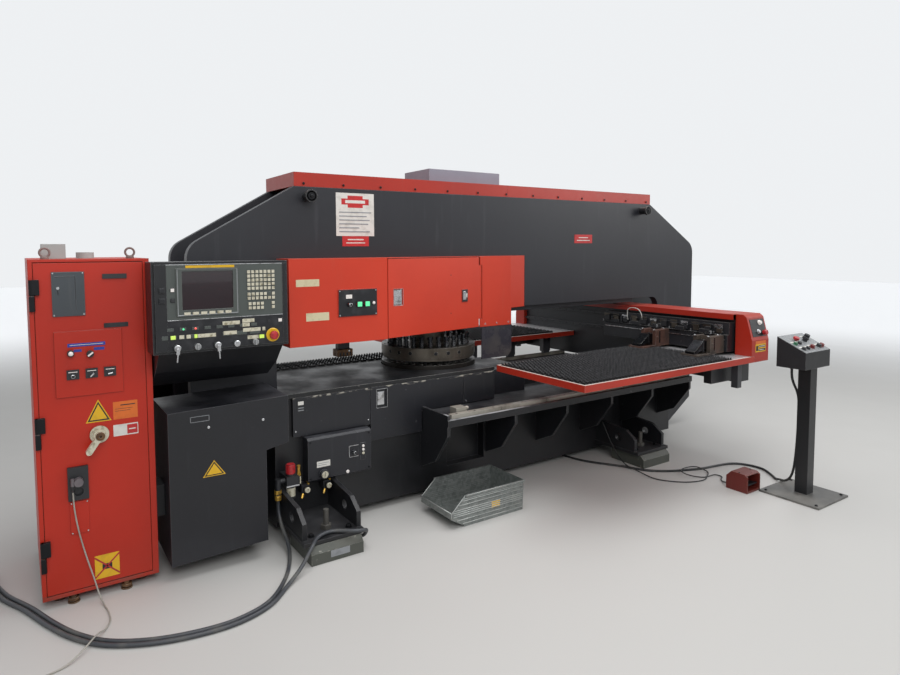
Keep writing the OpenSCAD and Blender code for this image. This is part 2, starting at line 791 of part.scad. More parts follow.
module cabinet_door() {
    dz0 = cab_z0 + 22;
    dz1 = cab_top - 16;
    color(orange) difference() {
        union() {
            difference() {
                box3(door_x0, door_x1, cab_front, cab_front + cab_door_t - 1, dz0, dz1);
                box3(door_x0 + 4, door_x1 - 4, cab_front + 4, cab_front + cab_door_t, dz0 + 4, dz1 - 4);
            }
            box3(door_x0 + 68, door_x0 + 345, cab_front - 8, cab_front + 1, 971, 1272);
            for (z = hinge_z) {
                rod_z(cab_hinge[0], cab_hinge[1], z + 1, z + 70, 9);
                box3(cab_hinge[0], door_x0 + 20, cab_hinge[1], cab_front - 0.5, z + 1, z + 70);
                box3(door_x0, door_x0 + 20, cab_front - 1, cab_front + 1, z + 1, z + 70);
            }
            rod_y(door_x0 + 235, 781, cab_front - 10, cab_front + 1, 42);
            box3(door_x0 + 220, door_x0 + 250, cab_front + 3, cab_front + cab_door_t - 1, 760, 802);
        }
        for (z = hinge_z)
            rod_z(cab_hinge[0], cab_hinge[1], z, z + 61, 4 + run_gap);
        rod_y(door_x0 + 235, 781, cab_front - 11, cab_front + 16, 12 + run_gap);
    }
}

module door_fittings() {
    dx = door_x0;
    color("#3a3b3f") {
        box3(dx + 68, dx + 198, cab_front - 5, cab_front, 1342, 1543);
        box3(dx + 272, dx + 375, cab_front - 8, cab_front, 1508, 1530);
        rod_y(dx + 131, 1173, cab_front - 26, cab_front - 8, 14);
        rod_y(dx + 209, 1165, cab_front - 26, cab_front - 8, 15);
        for (i = [0:2])
            box3(dx + 112 + i * 76, dx + 162 + i * 76, cab_front - 16, cab_front - 8, 1052, 1096);
        difference() {
            box3(dx + 98, dx + 182, cab_front - 18, cab_front, 490, 645);
            rod_y(dx + 140, 580, cab_front - 19, cab_front - 4, 20);
            rod_y(dx + 140, 530, cab_front - 19, cab_front - 4, 20);
        }
        box3(dx + 104, dx + 180, cab_front - 4, cab_front, 328, 480);
    }
}

module main_switch() {
    color("#e3e1da") translate([door_x0 + 235, 0, 781]) {
        rod_y(0, 0, cab_front - 28, cab_front + 14, 12);
        rod_y(0, 0, cab_front - 34, cab_front - 10 - rest_gap, 27);
        rotate([0, 35, 0]) slab_y(cab_front - 54, cab_front - 28) union() {
            translate([-13, -84]) square([26, 84]);
            translate([0, -84]) circle(13);
            circle(20);
        }
    }
}

module ram() {
    color(steel) {
        rod_z(ram_x, turret_y, punch_top + ram_stroke + 6, hub_z + 165, ram_r);
        box3(ram_x - 26, ram_x + 26, turret_y - 34, turret_y + 34, punch_top + rest_gap, punch_top + ram_stroke + 6);
    }
}

function station(i) = [turret_x + pitch_r * cos(360 * i / stations), turret_y + pitch_r * sin(360 * i / stations)];

module upper_turret() {
    color(steel) difference() {
        union() {
            rod_z(turret_x, turret_y, upper_z0, upper_z0 + 22, turret_r - 8);
            rod_z(turret_x, turret_y, upper_z0 + 22, upper_z1, turret_r);
            rod_z(turret_x, turret_y, upper_z1 + seam, hub_z - rest_gap, hub_r);
            rod_z(turret_x, turret_y, hub_z - 1, hub_z + 125, shaft_r);
        }
        for (i = [0:stations - 1])
            rod_z(station(i)[0], station(i)[1], upper_z0 - 1, upper_z1 + 1, punch_r + (i == 0 ? run_gap : 0));
        for (i = [0:11])
            rotate_about(turret_x, turret_y, i * 30 + 6) rod_x(0, upper_z0 + 55, turret_r - 24, turret_r + 1, 9);
    }
}

module rotate_about(x, y, a) {
    translate([x, y, 0]) rotate([0, 0, a]) children();
}

module punch(x, y) {
    translate([x, y, 0]) {
        rod_z(0, 0, upper_z0 + 2, upper_z1 + 6, punch_r - 0.01);
        rod_z(0, 0, upper_z1 + 6, punch_top - 18, punch_r - 7);
        rod_z(0, 0, upper_z1 + 34, upper_z1 + 40, punch_r - 2);
        rod_z(0, 0, punch_top - 18, punch_top, punch_r - 1);
    }
}

module punches() {
    color("#4a4c52") for (i = [1:stations - 1]) if (i != round(stations / 2)) punch(station(i)[0], station(i)[1]);
}

module active_punch() {
    color("#4a4c52") translate([ram_x, turret_y, 0]) {
        rod_z(0, 0, die_z + ram_stroke + rest_gap, die_z + ram_stroke + 6, punch_r - 13);
        rod_z(0, 0, die_z + ram_stroke + 5, upper_z1 + 1, punch_r);
        rod_z(0, 0, upper_z1 + 1, punch_top - 18, punch_r - 7);
        rod_z(0, 0, upper_z1 + 34, upper_z1 + 40, punch_r - 2);
        rod_z(0, 0, punch_top - 18, punch_top, punch_r - 1);
    }
}

module lower_turret() {
    color(steel) difference() {
        union() {
            rod_z(turret_x, turret_y, lower_z0, lower_z1, turret_r);
            rod_z(turret_x, turret_y, jaw_top + rest_gap, lower_z0, hub_r);
            rod_z(turret_x, turret_y, 615, jaw_top + 1, shaft_r);
            for (i = [0:stations - 1])
                rod_z(station(i)[0], station(i)[1], lower_z1 - 1, die_z, punch_r + 5);
        }
        for (i = [0:stations - 1])
            rod_z(station(i)[0], station(i)[1], lower_z1 - 30, die_z + 1, punch_r - 8);
    }
}

module table_frame() {
    difference() {
        box3(table_l, table_r, table_out, table_in, rim_z0, pass_z);
        box3(table_l + 14, table_r - strip_w, table_out + 14, table_in - 14, mat_z0, pass_z + 1);
        box3(table_l + 40, table_r - 60, table_out + 40, table_in - 40, rim_z0 - 1, mat_z0 - 8);
    }
    for (x = [table_l + 640, table_l + 1090, table_l + 1540]) {
        box3(x, x + 90, rail_y - 10, rail_y + rail_w, rail_z1 + rest_gap + 16, mat_z0 - 8);
        box3(x + 10, x + 80, rail_y, rail_y + rail_w, rail_z1 + rest_gap, rail_z1 + rest_gap + 16);
    }
    box3(table_r - 110, table_r - 60, table_out + 60, table_out + 110, rim_z0 - 190, mat_z0 - 8);
}

module side_tables() {
    color(red) front_and_rear() table_frame();
}

module brush_mat() {
    n = 16;
    x0 = table_l + 14.5;
    x1 = table_r - strip_w - 0.5;
    step = (x1 - x0) / n;
    box3(x0, x1, table_out + 14.5, table_in - 14.5, mat_z0, pass_z - 2);
    for (i = [0:n - 1])
        box3(x0 + i * step + 12, x0 + (i + 1) * step - 12, table_out + 24, table_in - 24, pass_z - 2, pass_z + brush_h - 2);
}

module brush_mats() {
    color("#1b1b1d") front_and_rear() brush_mat();
}

module carriage_beam() {
    color("#3a3b3f") {
        box3(beam_l, beam_r - 30, beam_end, beam_far, beam_bot, beam_top);
        box3(beam_l - 20, beam_l, beam_end, beam_far, 900, 925);
        box3(beam_l - 20, beam_l, beam_end, beam_far, 1030, 1055);
        for (y = [frame_y - 100, frame_y + 100])
            box3(beam_l + 10, beam_r - 40, y - 30, y + 30, beam_bot - 14 + rest_gap, beam_bot);
        for (y = [beam_end + 20, beam_far - 80])
            box3(beam_l - 300, beam_l, y, y + 60, beam_bot + 20, rim_z0);
    }
}

module end_cap() {
    difference() {
        slab_x(beam_l - 40, beam_r) polygon([[table_out, rim_z0], [beam_end, rim_z0], [beam_end, cover_top_z],
            [table_out + 72, cover_top_z], [table_out + 46, cover_top_z - 20], [table_out, 955]]);
        box3(beam_l - 41, beam_l - 1, table_out - 1, beam_end + 1, rim_z0 - 1, pass_z);
        slab_x(beam_l - 20, beam_r - 12) polygon([[table_out + 4, 975], [table_out + 44, cover_top_z - 34],
            [table_out - 40, cover_top_z - 34], [table_out - 40, 975]]);
        translate([beam_r - 60, table_out + 12, 1005]) rotate([90 - 14, 0, 0]) translate([0, 0, -60])
            cylinder(h = 90, r = 8 + run_gap);
    }
}

module beam_covers() {
    color(red) {
        front_and_rear() end_cap();
        box3(beam_r - 30, beam_r, beam_end - 1, beam_far + 1, pass_z + 60, beam_top);
        difference() {
            box3(beam_l - 75, beam_r, beam_end, beam_far, beam_top, cover_top_z);
            box3(beam_l - 71, beam_r - 4, beam_end - 1, beam_far + 1, beam_top - 1, cover_top_z - 4);
        }
        for (y = [beam_end + 300, frame_y, beam_far - 300])
            box3(beam_l + 10, beam_r - 40, y - 20, y + 20, beam_top, cover_top_z - 4);
    }
}

module beam_stop() {
    color("#c0b6b4") translate([beam_r - 60, table_out + 12, 1005]) rotate([90 - 14, 0, 0]) {
        translate([0, 0, -22]) cylinder(h = 32, r = 8);
        translate([0, 0, 8]) cylinder(h = 14, r = 19);
    }
}

module carriage() {
    color("#2f3035") {
        box3(car_x0 + 24, beam_l - 20 - rest_gap, car_y0, car_y0 + carriage_len, car_z0, car_z1);
        box3(car_x0, car_x0 + 24, car_y0, car_y0 + carriage_len, car_z0, car_z1 - 90);
        for (i = [0:10])
            rod_z(car_x0 + 11, car_y0 + 60 + i * 104, car_z1 - 90, car_z1 - 40, 9);
        for (i = [0:4])
            box3(car_x0 - 4, car_x0 + 24, car_y0 + 150 + i * 215, car_y0 + 230 + i * 215, car_z1 - 90, car_z1 - 62);
    }
}

module clamp_body(y0) {
    difference() {
        union() {
            box3(clamp_x0 + 60, clamp_x1, y0, y0 + clamp_w, pass_z + 18, 985);
            box3(clamp_x0, clamp_x0 + 60, y0, y0 + 30, pass_z + 26, 985);
            box3(clamp_x0, clamp_x0 + 60, y0 + clamp_w - 30, y0 + clamp_w, pass_z + 26, 985);
            box3(clamp_x0 - clamp_len, clamp_x0 + 60, y0, y0 + clamp_w, pass_z + 12, pass_z + 26);
        }
        rod_y(clamp_x0 + 25, 930, y0 - 1, y0 + 31, jaw_pin_d / 2);
        rod_y(clamp_x0 + 25, 930, y0 + clamp_w - 31, y0 + clamp_w + 1, jaw_pin_d / 2);
    }
    rod_y(clamp_x0 + 25, 930, y0 - 6, y0 + clamp_w + 6, jaw_pin_d / 2);
}

clamp_y = [car_y0 + 25, car_y0 + 500];

module clamp_near() {
    color("#5a4a46") clamp_body(clamp_y[0]);
}

module clamp_far() {
    color("#5a4a46") clamp_body(clamp_y[1]);
}

module jaw(y0) {
    difference() {
        slab_y(y0 + 31, y0 + clamp_w - 31) polygon([[clamp_x0 - clamp_len + 4, pass_z + 28],
            [clamp_x0 - clamp_len + 40, pass_z + 28], [clamp_x0 - clamp_len + 60, pass_z + 40],
            [clamp_x0 + 48, pass_z + 60], [clamp_x0 + 48, 955], [clamp_x0 - 40, 955],
            [clamp_x0 - clamp_len + 20, pass_z + 52], [clamp_x0 - clamp_len + 4, pass_z + 46]]);
        rod_y(clamp_x0 + 25, 930, y0 + 30, y0 + clamp_w - 30, jaw_pin_d / 2 + run_gap);
    }
}

module jaw_near() {
    color("#6b6c70") jaw(clamp_y[0]);
}

module jaw_far() {
    color("#6b6c70") jaw(clamp_y[1]);
}

module pedestal() {
    color("#202124") {
        box3(ped_x - ped_base / 2, ped_x + ped_base / 2, y_front, y_front + ped_base, 0, 12);
        box3(post_x - ped_post / 2, post_x + ped_post / 2, ped_y - ped_post / 2, ped_y + ped_post / 2, 12, desk_z0);
    }
}

function on_slope(v, h) = [desk_y0 + v * cos(desk_slope) - h * sin(desk_slope),
    desk_z1 + v * sin(desk_slope) + h * cos(desk_slope)];

module on_desk(u, v) {
    translate([desk_x0 + u, on_slope(v, 0)[0], on_slope(v, 0)[1]]) rotate([desk_slope, 0, 0]) children();
}

knob_u = desk_w * 0.62;
button_u = desk_w * 0.36;

module pedestal_desk() {
    color("#2c2d31") difference() {
        union() {
            slab_x(desk_x0, desk_x0 + desk_w) polygon([[desk_y0, desk_z0], [desk_y0 + desk_d, desk_z0],
                [desk_y0 + desk_d, desk_z2], [desk_y0, desk_z1]]);
            for (u = [40, 90], v = [40, 100])
                on_desk(u, v) translate([0, 0, -2]) cylinder(h = 16, r = 11);
            for (u = [150, 235, 270])
                on_desk(u, 45) translate([0, 0, -2]) cylinder(h = 20, r = 13);
            on_desk(240, 140) translate([0, 0, -2]) cylinder(h = 34, r = 16);
            rod_z(ped_x - 37, ped_y + 78.5, desk_z0 - 22, desk_z0 + 1, 13);
        }
        on_desk(knob_u, 120) translate([0, 0, -20]) cylinder(h = 30, r = 5 + run_gap);
        on_desk(button_u, 140) translate([0, 0, -20]) cylinder(h = 30, r = 9 + run_gap);
    }
}

module desk_knob() {
    color("#17181a") on_desk(knob_u, 120) {
        translate([0, 0, -16]) cylinder(h = 17, r = 5);
        translate([0, 0, rest_gap]) cylinder(h = 22, r = 15);
        translate([-4, -19, 18]) cube([8, 38, 10]);
    }
}

module desk_button() {
    color("#8c2320") on_desk(button_u, 140) {
        translate([0, 0, -8]) cylinder(h = 20, r = 9);
        translate([0, 0, 10]) cylinder(h = 14, r = 19);
    }
}

module foot_switch() {
    color("#9c2f25") difference() {
        slab_x(sw_x0, sw_x0 + sw_w) polygon([[sw_y0, 0], [sw_y0 + sw_l, 0], [sw_y0 + sw_l, 88],
            [sw_y0 + sw_l - 35, sw_h], [sw_y0 + 22, sw_h], [sw_y0, sw_h - 16]]);
        slab_x(sw_x0 + 10, sw_x0 + sw_w - 10) polygon([[sw_y0 - 1, 12], [sw_y0 + sw_l - 20, 12],
            [sw_y0 + sw_l - 20, 84], [sw_y0 + sw_l - 45, sw_h - 10], [sw_y0 - 1, sw_h - 10]]);
        rod_x(sw_y0 + sw_l - 32, 34, sw_x0 + 3, sw_x0 + sw_w - 3, 5 + run_gap);
    }
}

module foot_pedal() {
    color("#202022") union() {
        rod_x(sw_y0 + sw_l - 32, 34, sw_x0 + 4, sw_x0 + sw_w - 4, 5);
        slab_x(sw_x0 + 14, sw_x0 + sw_w - 14) polygon([[sw_y0 + 14, 44], [sw_y0 + sw_l - 32, 31],
            [sw_y0 + sw_l - 32, 38], [sw_y0 + 14, 52]]);
    }
}

function unit(v) = v / norm(v);
function mean_dir(pts, i) = let (n = len(pts))
    unit(unit(pts[min(i + 1, n - 1)] - pts[i == n - 1 ? i - 1 : i]) + unit(pts[i == 0 ? 1 : i] - pts[max(i - 1, 0)]));
function side_dir(d) = unit(cross(d, abs(d[2]) > 0.8 ? [1, 0, 0] : [0, 0, 1]));
function carried(dirs, i, u, list) = i == len(dirs) ? list
    : let (v = unit(u - (u * dirs[i]) * dirs[i])) carried(dirs, i + 1, v, concat(list, [v]));
function ring(p, d, u, r, sides) = let (v = cross(d, u))
    [for (k = [0:sides - 1]) p + r * (cos(360 * k / sides) * u + sin(360 * k / sides) * v)];
function spline(a, b, c, d, t) = 0.5 * ((2 * b) + (c - a) * t + (2 * a - 5 * b + 4 * c - d) * t * t
    + (3 * b - a - 3 * c + d) * t * t * t);
function smooth(pts, steps) = let (n = len(pts)) concat([for (i = [0:n - 2], s = [0:steps - 1])
    spline(pts[max(i - 1, 0)], pts[i], pts[i + 1], pts[min(i + 2, n - 1)], s / steps)], [pts[n - 1]]);

function pinned(route, first, last) = let (n = len(route) - 1)
    [for (i = [0:n]) route[i] + (first - route[0]) * (n - i) / n + (last - route[n]) * i / n];

module cord(route, steps, r, sides) {
    pts = smooth(route, steps);
    n = len(pts);
    dirs = [for (i = [0:n - 1]) mean_dir(pts, i)];
    sides_dir = carried(dirs, 0, side_dir(dirs[0]), []);
    rings = [for (i = [0:n - 1]) each ring(pts[i], dirs[i], sides_dir[i], r, sides)];
    faces = concat(
        [[for (k = [0:sides - 1]) k]],
        [for (i = [0:n - 2], k = [0:sides - 1]) let (k2 = (k + 1) % sides)
            each [[i * sides + k, (i + 1) * sides + k, (i + 1) * sides + k2],
                [i * sides + k, (i + 1) * sides + k2, i * sides + k2]]],
        [[for (k = [sides - 1:-1:0]) (n - 1) * sides + k]]);
    polyhedron(points = rings, faces = faces, convexity = 4);
}

coil_x = x_left - 320;
coil_y = frame_y - 180;
coil_r = 120;
hose_r = 10;
hose_route = [[-1485, -175, 240], [-1485, -175, 215], [-1486, -185, 170], [-1486, -230, 110], [-1488, -320, 55],
    [-1518, -430, 20], [-1600, -590, 10.5], [-1736, -751, 10.5], [-1900, -815, 10.5], [-2064, -812, 10.5],
    [-2240, -765, 10.5], [-2395, -675, 10.5], [-2500, -550, 10.5], [-2580, -400, 10.5], [-2665, -200, 10.5],
    [-2755, -20, 10.5], [-2820, 90, 14]];
floor_route = [[-1080, 145, 28], [-1080, 40, 14], [-1084, -120, 12], [-1090, -300, 14], [-1098, -440, 40],
    [-1118, -530, 110], [-1185, -545, 128], [-1290, -470, 124], [-1380, -490, 124], [-1450, -560, 108],
    [-1520, -604, 50], [-1618, -672, 15], [-1744, -786, 11], [-1900, -842, 10.5], [-2070, -838, 10.5],
    [-2252, -790, 10.5], [-2415, -695, 10.5], [-2524, -564, 10.5], [-2605, -410, 10.5], [-2690, -210, 10.5],
    [-2782, -28, 10.5], [-2852, 70, 12]];

lead_route = [[-2484, -285, 566], [-2484, -285, 525], [-2480, -281, 450], [-2466, -277, 345], [-2440, -275, 220],
    [-2415, -282, 120], [-2396, -305, 40], [-2382, -350, 6], [-2372, -420, 4], [-2374, -500, 4],
    [-2400, -570, 10], [-2430, -620, 28], [-2458, -665, 34], [-2500, -715, 26], [-2560, -752, 8],
    [-2640, -772, 4], [-2720, -780, 4], [-2800, -780, 12]];
lead_x = x_left - 180;

ped_cable_route = [[1619, -1370, 841], [1619, -1370, 800], [1630, -1370, 762], [1655, -1370, 722],
    [1688, -1370, 682], [1712, -1370, 636], [1722, -1370, 580], [1724, -1369, 480], [1721, -1367, 340],
    [1716, -1362, 210], [1712, -1352, 120], [1714, -1330, 62], [1724, -1292, 30], [1742, -1248, 20],
    [1766, -1208, 9.5], [1800, -1170, 8.5], [1842, -1118, 8.5], [1884, -1050, 8.5], [1885, -970, 8.5], [1850, -890, 8.5],
    [1782, -842, 8.5], [1660, -815, 8.5], [1521, -792, 8.5], [1422, -757, 8.5], [1322, -715, 8.5],
    [1225, -655, 8.5], [1140, -570, 8.5], [1085, -450, 8.5], [1020, -340, 8.5], [968, -260, 8.5],
    [925, -166, 8.5], [898, -40, 8.5], [890, 80, 12], [890, 162, 20]];

foot_cable_route = [[1400, -1095, 20], [1400, -1075, 18], [1408, -1040, 8], [1440, -1000, 4.5], [1500, -965, 4.5],
    [1490, -915, 4.5], [1390, -905, 4.5], [1310, -860, 16], [1300, -790, 22], [1370, -740, 22],
    [1480, -770, 24], [1500, -850, 8], [1430, -900, 4.5], [1330, -935, 4.5], [1210, -900, 4.5],
    [1120, -820, 4.5], [1070, -720, 4.5], [1062, -600, 18], [1075, -500, 22], [1110, -420, 24],
    [1140, -330, 60], [1146, -250, 150], [1148, -180, 262], [1148, -130, 308], [1148, -90, 310]];

module air_hose() {
    color("#3a3d42") cord(pinned(hose_route, [unit_x - 75, unit_y, 240], [coil_x + 120, coil_y - 60, 14]), 2, hose_r, 8);
}

module floor_hose() {
    first = [frame_x - 1450, inner_front_y + 3, 28];
    color("#3a3d42") cord(pinned(floor_route, first, [coil_x + 88, coil_y - 80, 12]), 2, hose_r, 8);
}

module air_hose_coil() {
    color("#3a3d42") translate([coil_x, coil_y, 0]) rotate_extrude() translate([coil_r - 22, 0.5]) square([44, 60]);
}

module socket_lead() {
    first = [door_x0 + 116, cab_front - 40, 566];
    color("#9a9c9c") cord(pinned(lead_route, first, [lead_x + 0.5, cab_front - 535, 12]), 1, 3.5, 8);
}

module socket_plug() {
    color("#6d7072") difference() {
        union() {
            rod_y(door_x0 + 140, 580, cab_front - 50, cab_front - 18, 19);
            rod_z(door_x0 + 116, cab_front - 40, 566, 600, 8);
        }
        rod_z(door_x0 + 116, cab_front - 40, 500, 566, 12);
    }
}

module lead_connector() {
    color("#2b2c2e") rod_x(cab_front - 535, 12, lead_x - 62, lead_x, 11.5);
}

module pedestal_cable() {
    first = [ped_x - 37, ped_y + 78.5, desk_z0 - 16];
    color("#232427") cord(pinned(ped_cable_route, first, [frame_x + 520, inner_front_y + 20, 20]), 1, 8, 8);
}

module foot_cable() {
    first = [sw_x0 + 55, sw_y0 + sw_l, 20];
    color("#232427") cord(pinned(foot_cable_route, first, [frame_x + 778, base_front - rest_gap, 310]), 1, 4, 8);
}

front_plate();
rear_plate();
cross_members();
base_frame();
foot_brackets();
levelling_blocks();
top_covers();
ram_cover_box();
lifting_trunnions();
turret_covers();
turret_guard();
fixed_tables();
front_covers();
air_panel();
air_unit();
guide_shelves();
shelf_rails();
scrap_bin();
left_cover();
nc_box();
nc_panel();
cabinet();
cabinet_hardware();
ram();
upper_turret();
punches();
active_punch();
lower_turret();
turret_door();
door_latch();
cabinet_door();
door_fittings();
main_switch();
side_tables();
brush_mats();
carriage_beam();
beam_covers();
beam_stop();
carriage();
clamp_near();
clamp_far();
jaw_near();
jaw_far();
nc_stop();
nc_mode_knob();
nc_feed_knob();
pedestal();
pedestal_desk();
desk_knob();
desk_button();
foot_switch();
foot_pedal();
air_hose();
floor_hose();
air_hose_coil();
socket_lead();
socket_plug();
lead_connector();
pedestal_cable();
foot_cable();
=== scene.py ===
import math

import bmesh
import bpy
from mathutils import Matrix, Vector


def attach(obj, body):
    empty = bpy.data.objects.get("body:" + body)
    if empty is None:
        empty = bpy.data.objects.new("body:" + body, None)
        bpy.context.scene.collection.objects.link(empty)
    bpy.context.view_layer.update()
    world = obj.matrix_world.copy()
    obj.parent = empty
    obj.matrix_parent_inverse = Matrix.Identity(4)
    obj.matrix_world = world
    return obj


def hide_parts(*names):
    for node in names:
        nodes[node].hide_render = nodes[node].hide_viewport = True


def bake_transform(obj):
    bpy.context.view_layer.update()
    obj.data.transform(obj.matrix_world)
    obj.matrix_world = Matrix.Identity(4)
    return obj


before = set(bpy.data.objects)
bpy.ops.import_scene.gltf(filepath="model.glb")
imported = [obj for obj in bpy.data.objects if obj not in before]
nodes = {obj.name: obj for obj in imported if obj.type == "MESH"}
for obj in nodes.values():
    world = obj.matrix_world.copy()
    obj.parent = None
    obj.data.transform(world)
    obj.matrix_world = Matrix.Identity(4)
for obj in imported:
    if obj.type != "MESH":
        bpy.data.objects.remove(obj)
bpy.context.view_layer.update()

# Camera
# It stands at eye height in front of the cabinet's left side and looks along the machine, with the small
# shift that the photograph's framing has. The photograph is 900 pixels wide and 675 high.
photo_wide, photo_high = 900, 675
focal_pixels, centre_column, centre_row = 636.2, 432.2, 290.3
yaw, pitch, roll = math.radians(33.25), math.radians(3.78), math.radians(-0.26)
ahead = Vector((math.sin(yaw) * math.cos(pitch), math.cos(yaw) * math.cos(pitch), -math.sin(pitch)))
right = ahead.cross(Vector((0, 0, 1))).normalized()
up = right.cross(ahead)
right, up = right * math.cos(roll) + up * math.sin(roll), up * math.cos(roll) - right * math.sin(roll)
eye = bpy.data.cameras.new("eye")
eye.sensor_width = 36
eye.lens = focal_pixels / photo_wide * eye.sensor_width
eye.shift_x = (photo_wide / 2 - centre_column) / photo_wide
eye.shift_y = (centre_row - photo_high / 2) / photo_wide
eye.clip_start, eye.clip_end = 0.05, 100
camera = bpy.data.objects.new("camera", eye)
bpy.context.collection.objects.link(camera)
camera.matrix_world = (Matrix.Translation((-2.665, -3.5555, 1.642))
                       @ Matrix((right, up, -ahead)).transposed().to_4x4())
bpy.context.scene.camera = camera


# Air hoses
# Two grey rubber hoses, one crimped to the brass coupling of the air unit and one that comes out from under
# the base over the front foot. They lie side by side on the floor and end in one coil beside the machine.
class Wire:
    """One socket of a material's nodes: sums on it add Math nodes, and add() brings any other node."""

    def __init__(self, tree, socket=None):
        self.tree, self.socket = tree, socket

    def add(self, kind, values=None, out=0, **settings):
        node = self.tree.nodes.new(kind)
        for name, value in settings.items():
            setattr(node, name, value)
        for name, value in (values or {}).items():
            if isinstance(value, Wire):
                self.tree.links.new(value.socket, node.inputs[name])
            else:
                node.inputs[name].default_value = value
        return Wire(self.tree, node.outputs[out])

    def maths(self, operation, a, b):
        return self.add("ShaderNodeMath", {0: a, 1: b}, operation=operation)

    def __add__(self, other):
        return self.maths("ADD", self, other)

    def __sub__(self, other):
        return self.maths("SUBTRACT", self, other)

    def __rsub__(self, other):
        return self.maths("SUBTRACT", other, self)

    def __mul__(self, other):
        return self.maths("MULTIPLY", self, other)

    def __gt__(self, other):
        return self.maths("GREATER_THAN", self, other)

    def __lt__(self, other):
        return self.maths("LESS_THAN", self, other)

    __radd__ = __add__
    __rmul__ = __mul__


def ink(code):
    """A screen colour such as "c8321e" as linear light."""
    parts = [int(code[i:i + 2], 16) / 255 for i in (0, 2, 4)]
    return tuple(p / 12.92 if p <= 0.04045 else ((p + 0.055) / 1.055) ** 2.4 for p in parts) + (1.0,)


def blend_colours(a, b, share):
    wire = next(x for x in (share, a, b) if isinstance(x, Wire))
    return wire.add("ShaderNodeMix", {0: share, 6: a, 7: b}, out=2, data_type="RGBA")


def surface(name, colour, roughness, metallic=0.0, coat=0.0):
    """A new material with its shader, and the place on the part in metres."""
    material = bpy.data.materials.new(name)
    material.use_nodes = True
    shader = material.node_tree.nodes["Principled BSDF"]
    shader.inputs["Base Color"].default_value = ink(colour)
    shader.inputs["Roughness"].default_value = roughness
    shader.inputs["Metallic"].default_value = metallic
    shader.inputs["Coat Weight"].default_value = coat
    return material, shader, Wire(material.node_tree).add("ShaderNodeTexCoord", out=3)


def feed(shader, **wires):
    for name, wire in wires.items():
        wire.tree.links.new(wire.socket, shader.inputs[name.replace("_", " ")])


def noise(place, scale, detail=3.0, stretch=None):
    if stretch:
        place = place.add("ShaderNodeMapping", {"Vector": place, "Scale": stretch})
    return place.add("ShaderNodeTexNoise", {"Vector": place, "Scale": scale, "Detail": detail})


def limits(wire, low, high):
    """0 below low, 1 above high and a smooth slope between."""
    return wire.add("ShaderNodeMapRange", {0: wire, 1: low, 2: high}, interpolation_type="SMOOTHSTEP")


def bump(height, strength, distance, normal=None):
    values = {"Strength": strength, "Distance": distance, "Height": height}
    if normal:
        values["Normal"] = normal
    return height.add("ShaderNodeBump", values)


def spotted(name, clean, spoiled, spots, sheen, metallic=0.0, coat=0.0, grain=(None, None)):
    """Bare or moulded stuff: spots of grime (scale, from, to) and an uneven sheen (scale, span, least)."""
    material, shader, place = surface(name, clean, sheen[2], metallic, coat)
    grime = limits(noise(place, spots[0], 4, grain[0]), spots[1], spots[2])
    feed(shader, Base_Color=blend_colours(ink(clean), ink(spoiled), grime),
         Roughness=noise(place, sheen[0], 3, grain[1]) * sheen[1] + sheen[2])
    return material


def rubber(name, colour, dusty, scale=70):
    material, shader, place = surface(name, colour, 0.55)
    dirt = limits(noise(place, 9, 4), 0.45, 0.75)
    feed(shader, Base_Color=blend_colours(ink(colour), ink(dusty), dirt * 0.55),
         Roughness=dirt * 0.3 + 0.45, Normal=bump(noise(place, scale, 2), 0.2, 0.0006))
    return material


def spline(route, steps):
    """A smooth line through the route's points, the same one that the solid follows."""
    line, n = [], len(route)
    for i in range(n - 1):
        a, b, c, d = (Vector(route[k]) for k in (max(i - 1, 0), i, i + 1, min(i + 2, n - 1)))
        for s in range(steps):
            t = s / steps
            line.append(0.5 * (2 * b + (c - a) * t + (2 * a - 5 * b + 4 * c - d) * t * t
                               + (3 * b - a - 3 * c + d) * t ** 3))
    return line + [Vector(route[-1])]


def new_piece(name, bm, materials, body):
    mesh = bpy.data.meshes.new(name)
    bmesh.ops.recalc_face_normals(bm, faces=bm.faces)
    bm.to_mesh(mesh)
    bm.free()
    for material in materials if isinstance(materials, list) else [materials]:
        mesh.materials.append(material)
    piece = bpy.data.objects.new(name, mesh)
    bpy.context.collection.objects.link(piece)
    if body:
        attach(piece, body)
    return piece


def skin_rings(bm, rings, slot, smooth):
    """Joins the rings of points one to the next and closes both ends."""
    for one, two in zip(rings, rings[1:]):
        for k in range(len(one)):
            face = bm.faces.new((one[k], one[k - len(one) + 1], two[k - len(one) + 1], two[k]))
            face.smooth, face.material_index = smooth, slot
    for ring in (rings[0], rings[-1]):
        bm.faces.new(ring).material_index = slot


def ring_at(bm, middle, across, other, radius, sides):
    return [bm.verts.new(middle + radius * (math.cos(a) * across + math.sin(a) * other))
            for a in (2 * math.pi * k / sides for k in range(sides))]


def tube_in(bm, line, radii, sides=12, slot=0):
    """Sweeps a round skin along line. radii is one number or one for each point."""
    last = len(line) - 1
    across, rings = None, []
    for i, point in enumerate(line):
        along = (line[min(i + 1, last)] - line[max(i - 1, 0)]).normalized()
        if across is None:
            across = along.cross(Vector((1, 0, 0)) if abs(along.z) > 0.8 else Vector((0, 0, 1)))
        across = (across - across.dot(along) * along).normalized()
        radius = radii[i] if isinstance(radii, list) else radii
        rings.append(ring_at(bm, point, across, along.cross(across), radius, sides))
    skin_rings(bm, rings, slot, True)


hose_rubber = rubber("hose_rubber", "3c3f44", "77756e")
brass = spotted("brass", "d2a848", "6c5628", (60, 0.4, 0.75), (90, 0.35, 0.15), 0.55)
hose_r = 0.010
coil_x, coil_y, coil_turns = -2.940, 0.150, 2.5


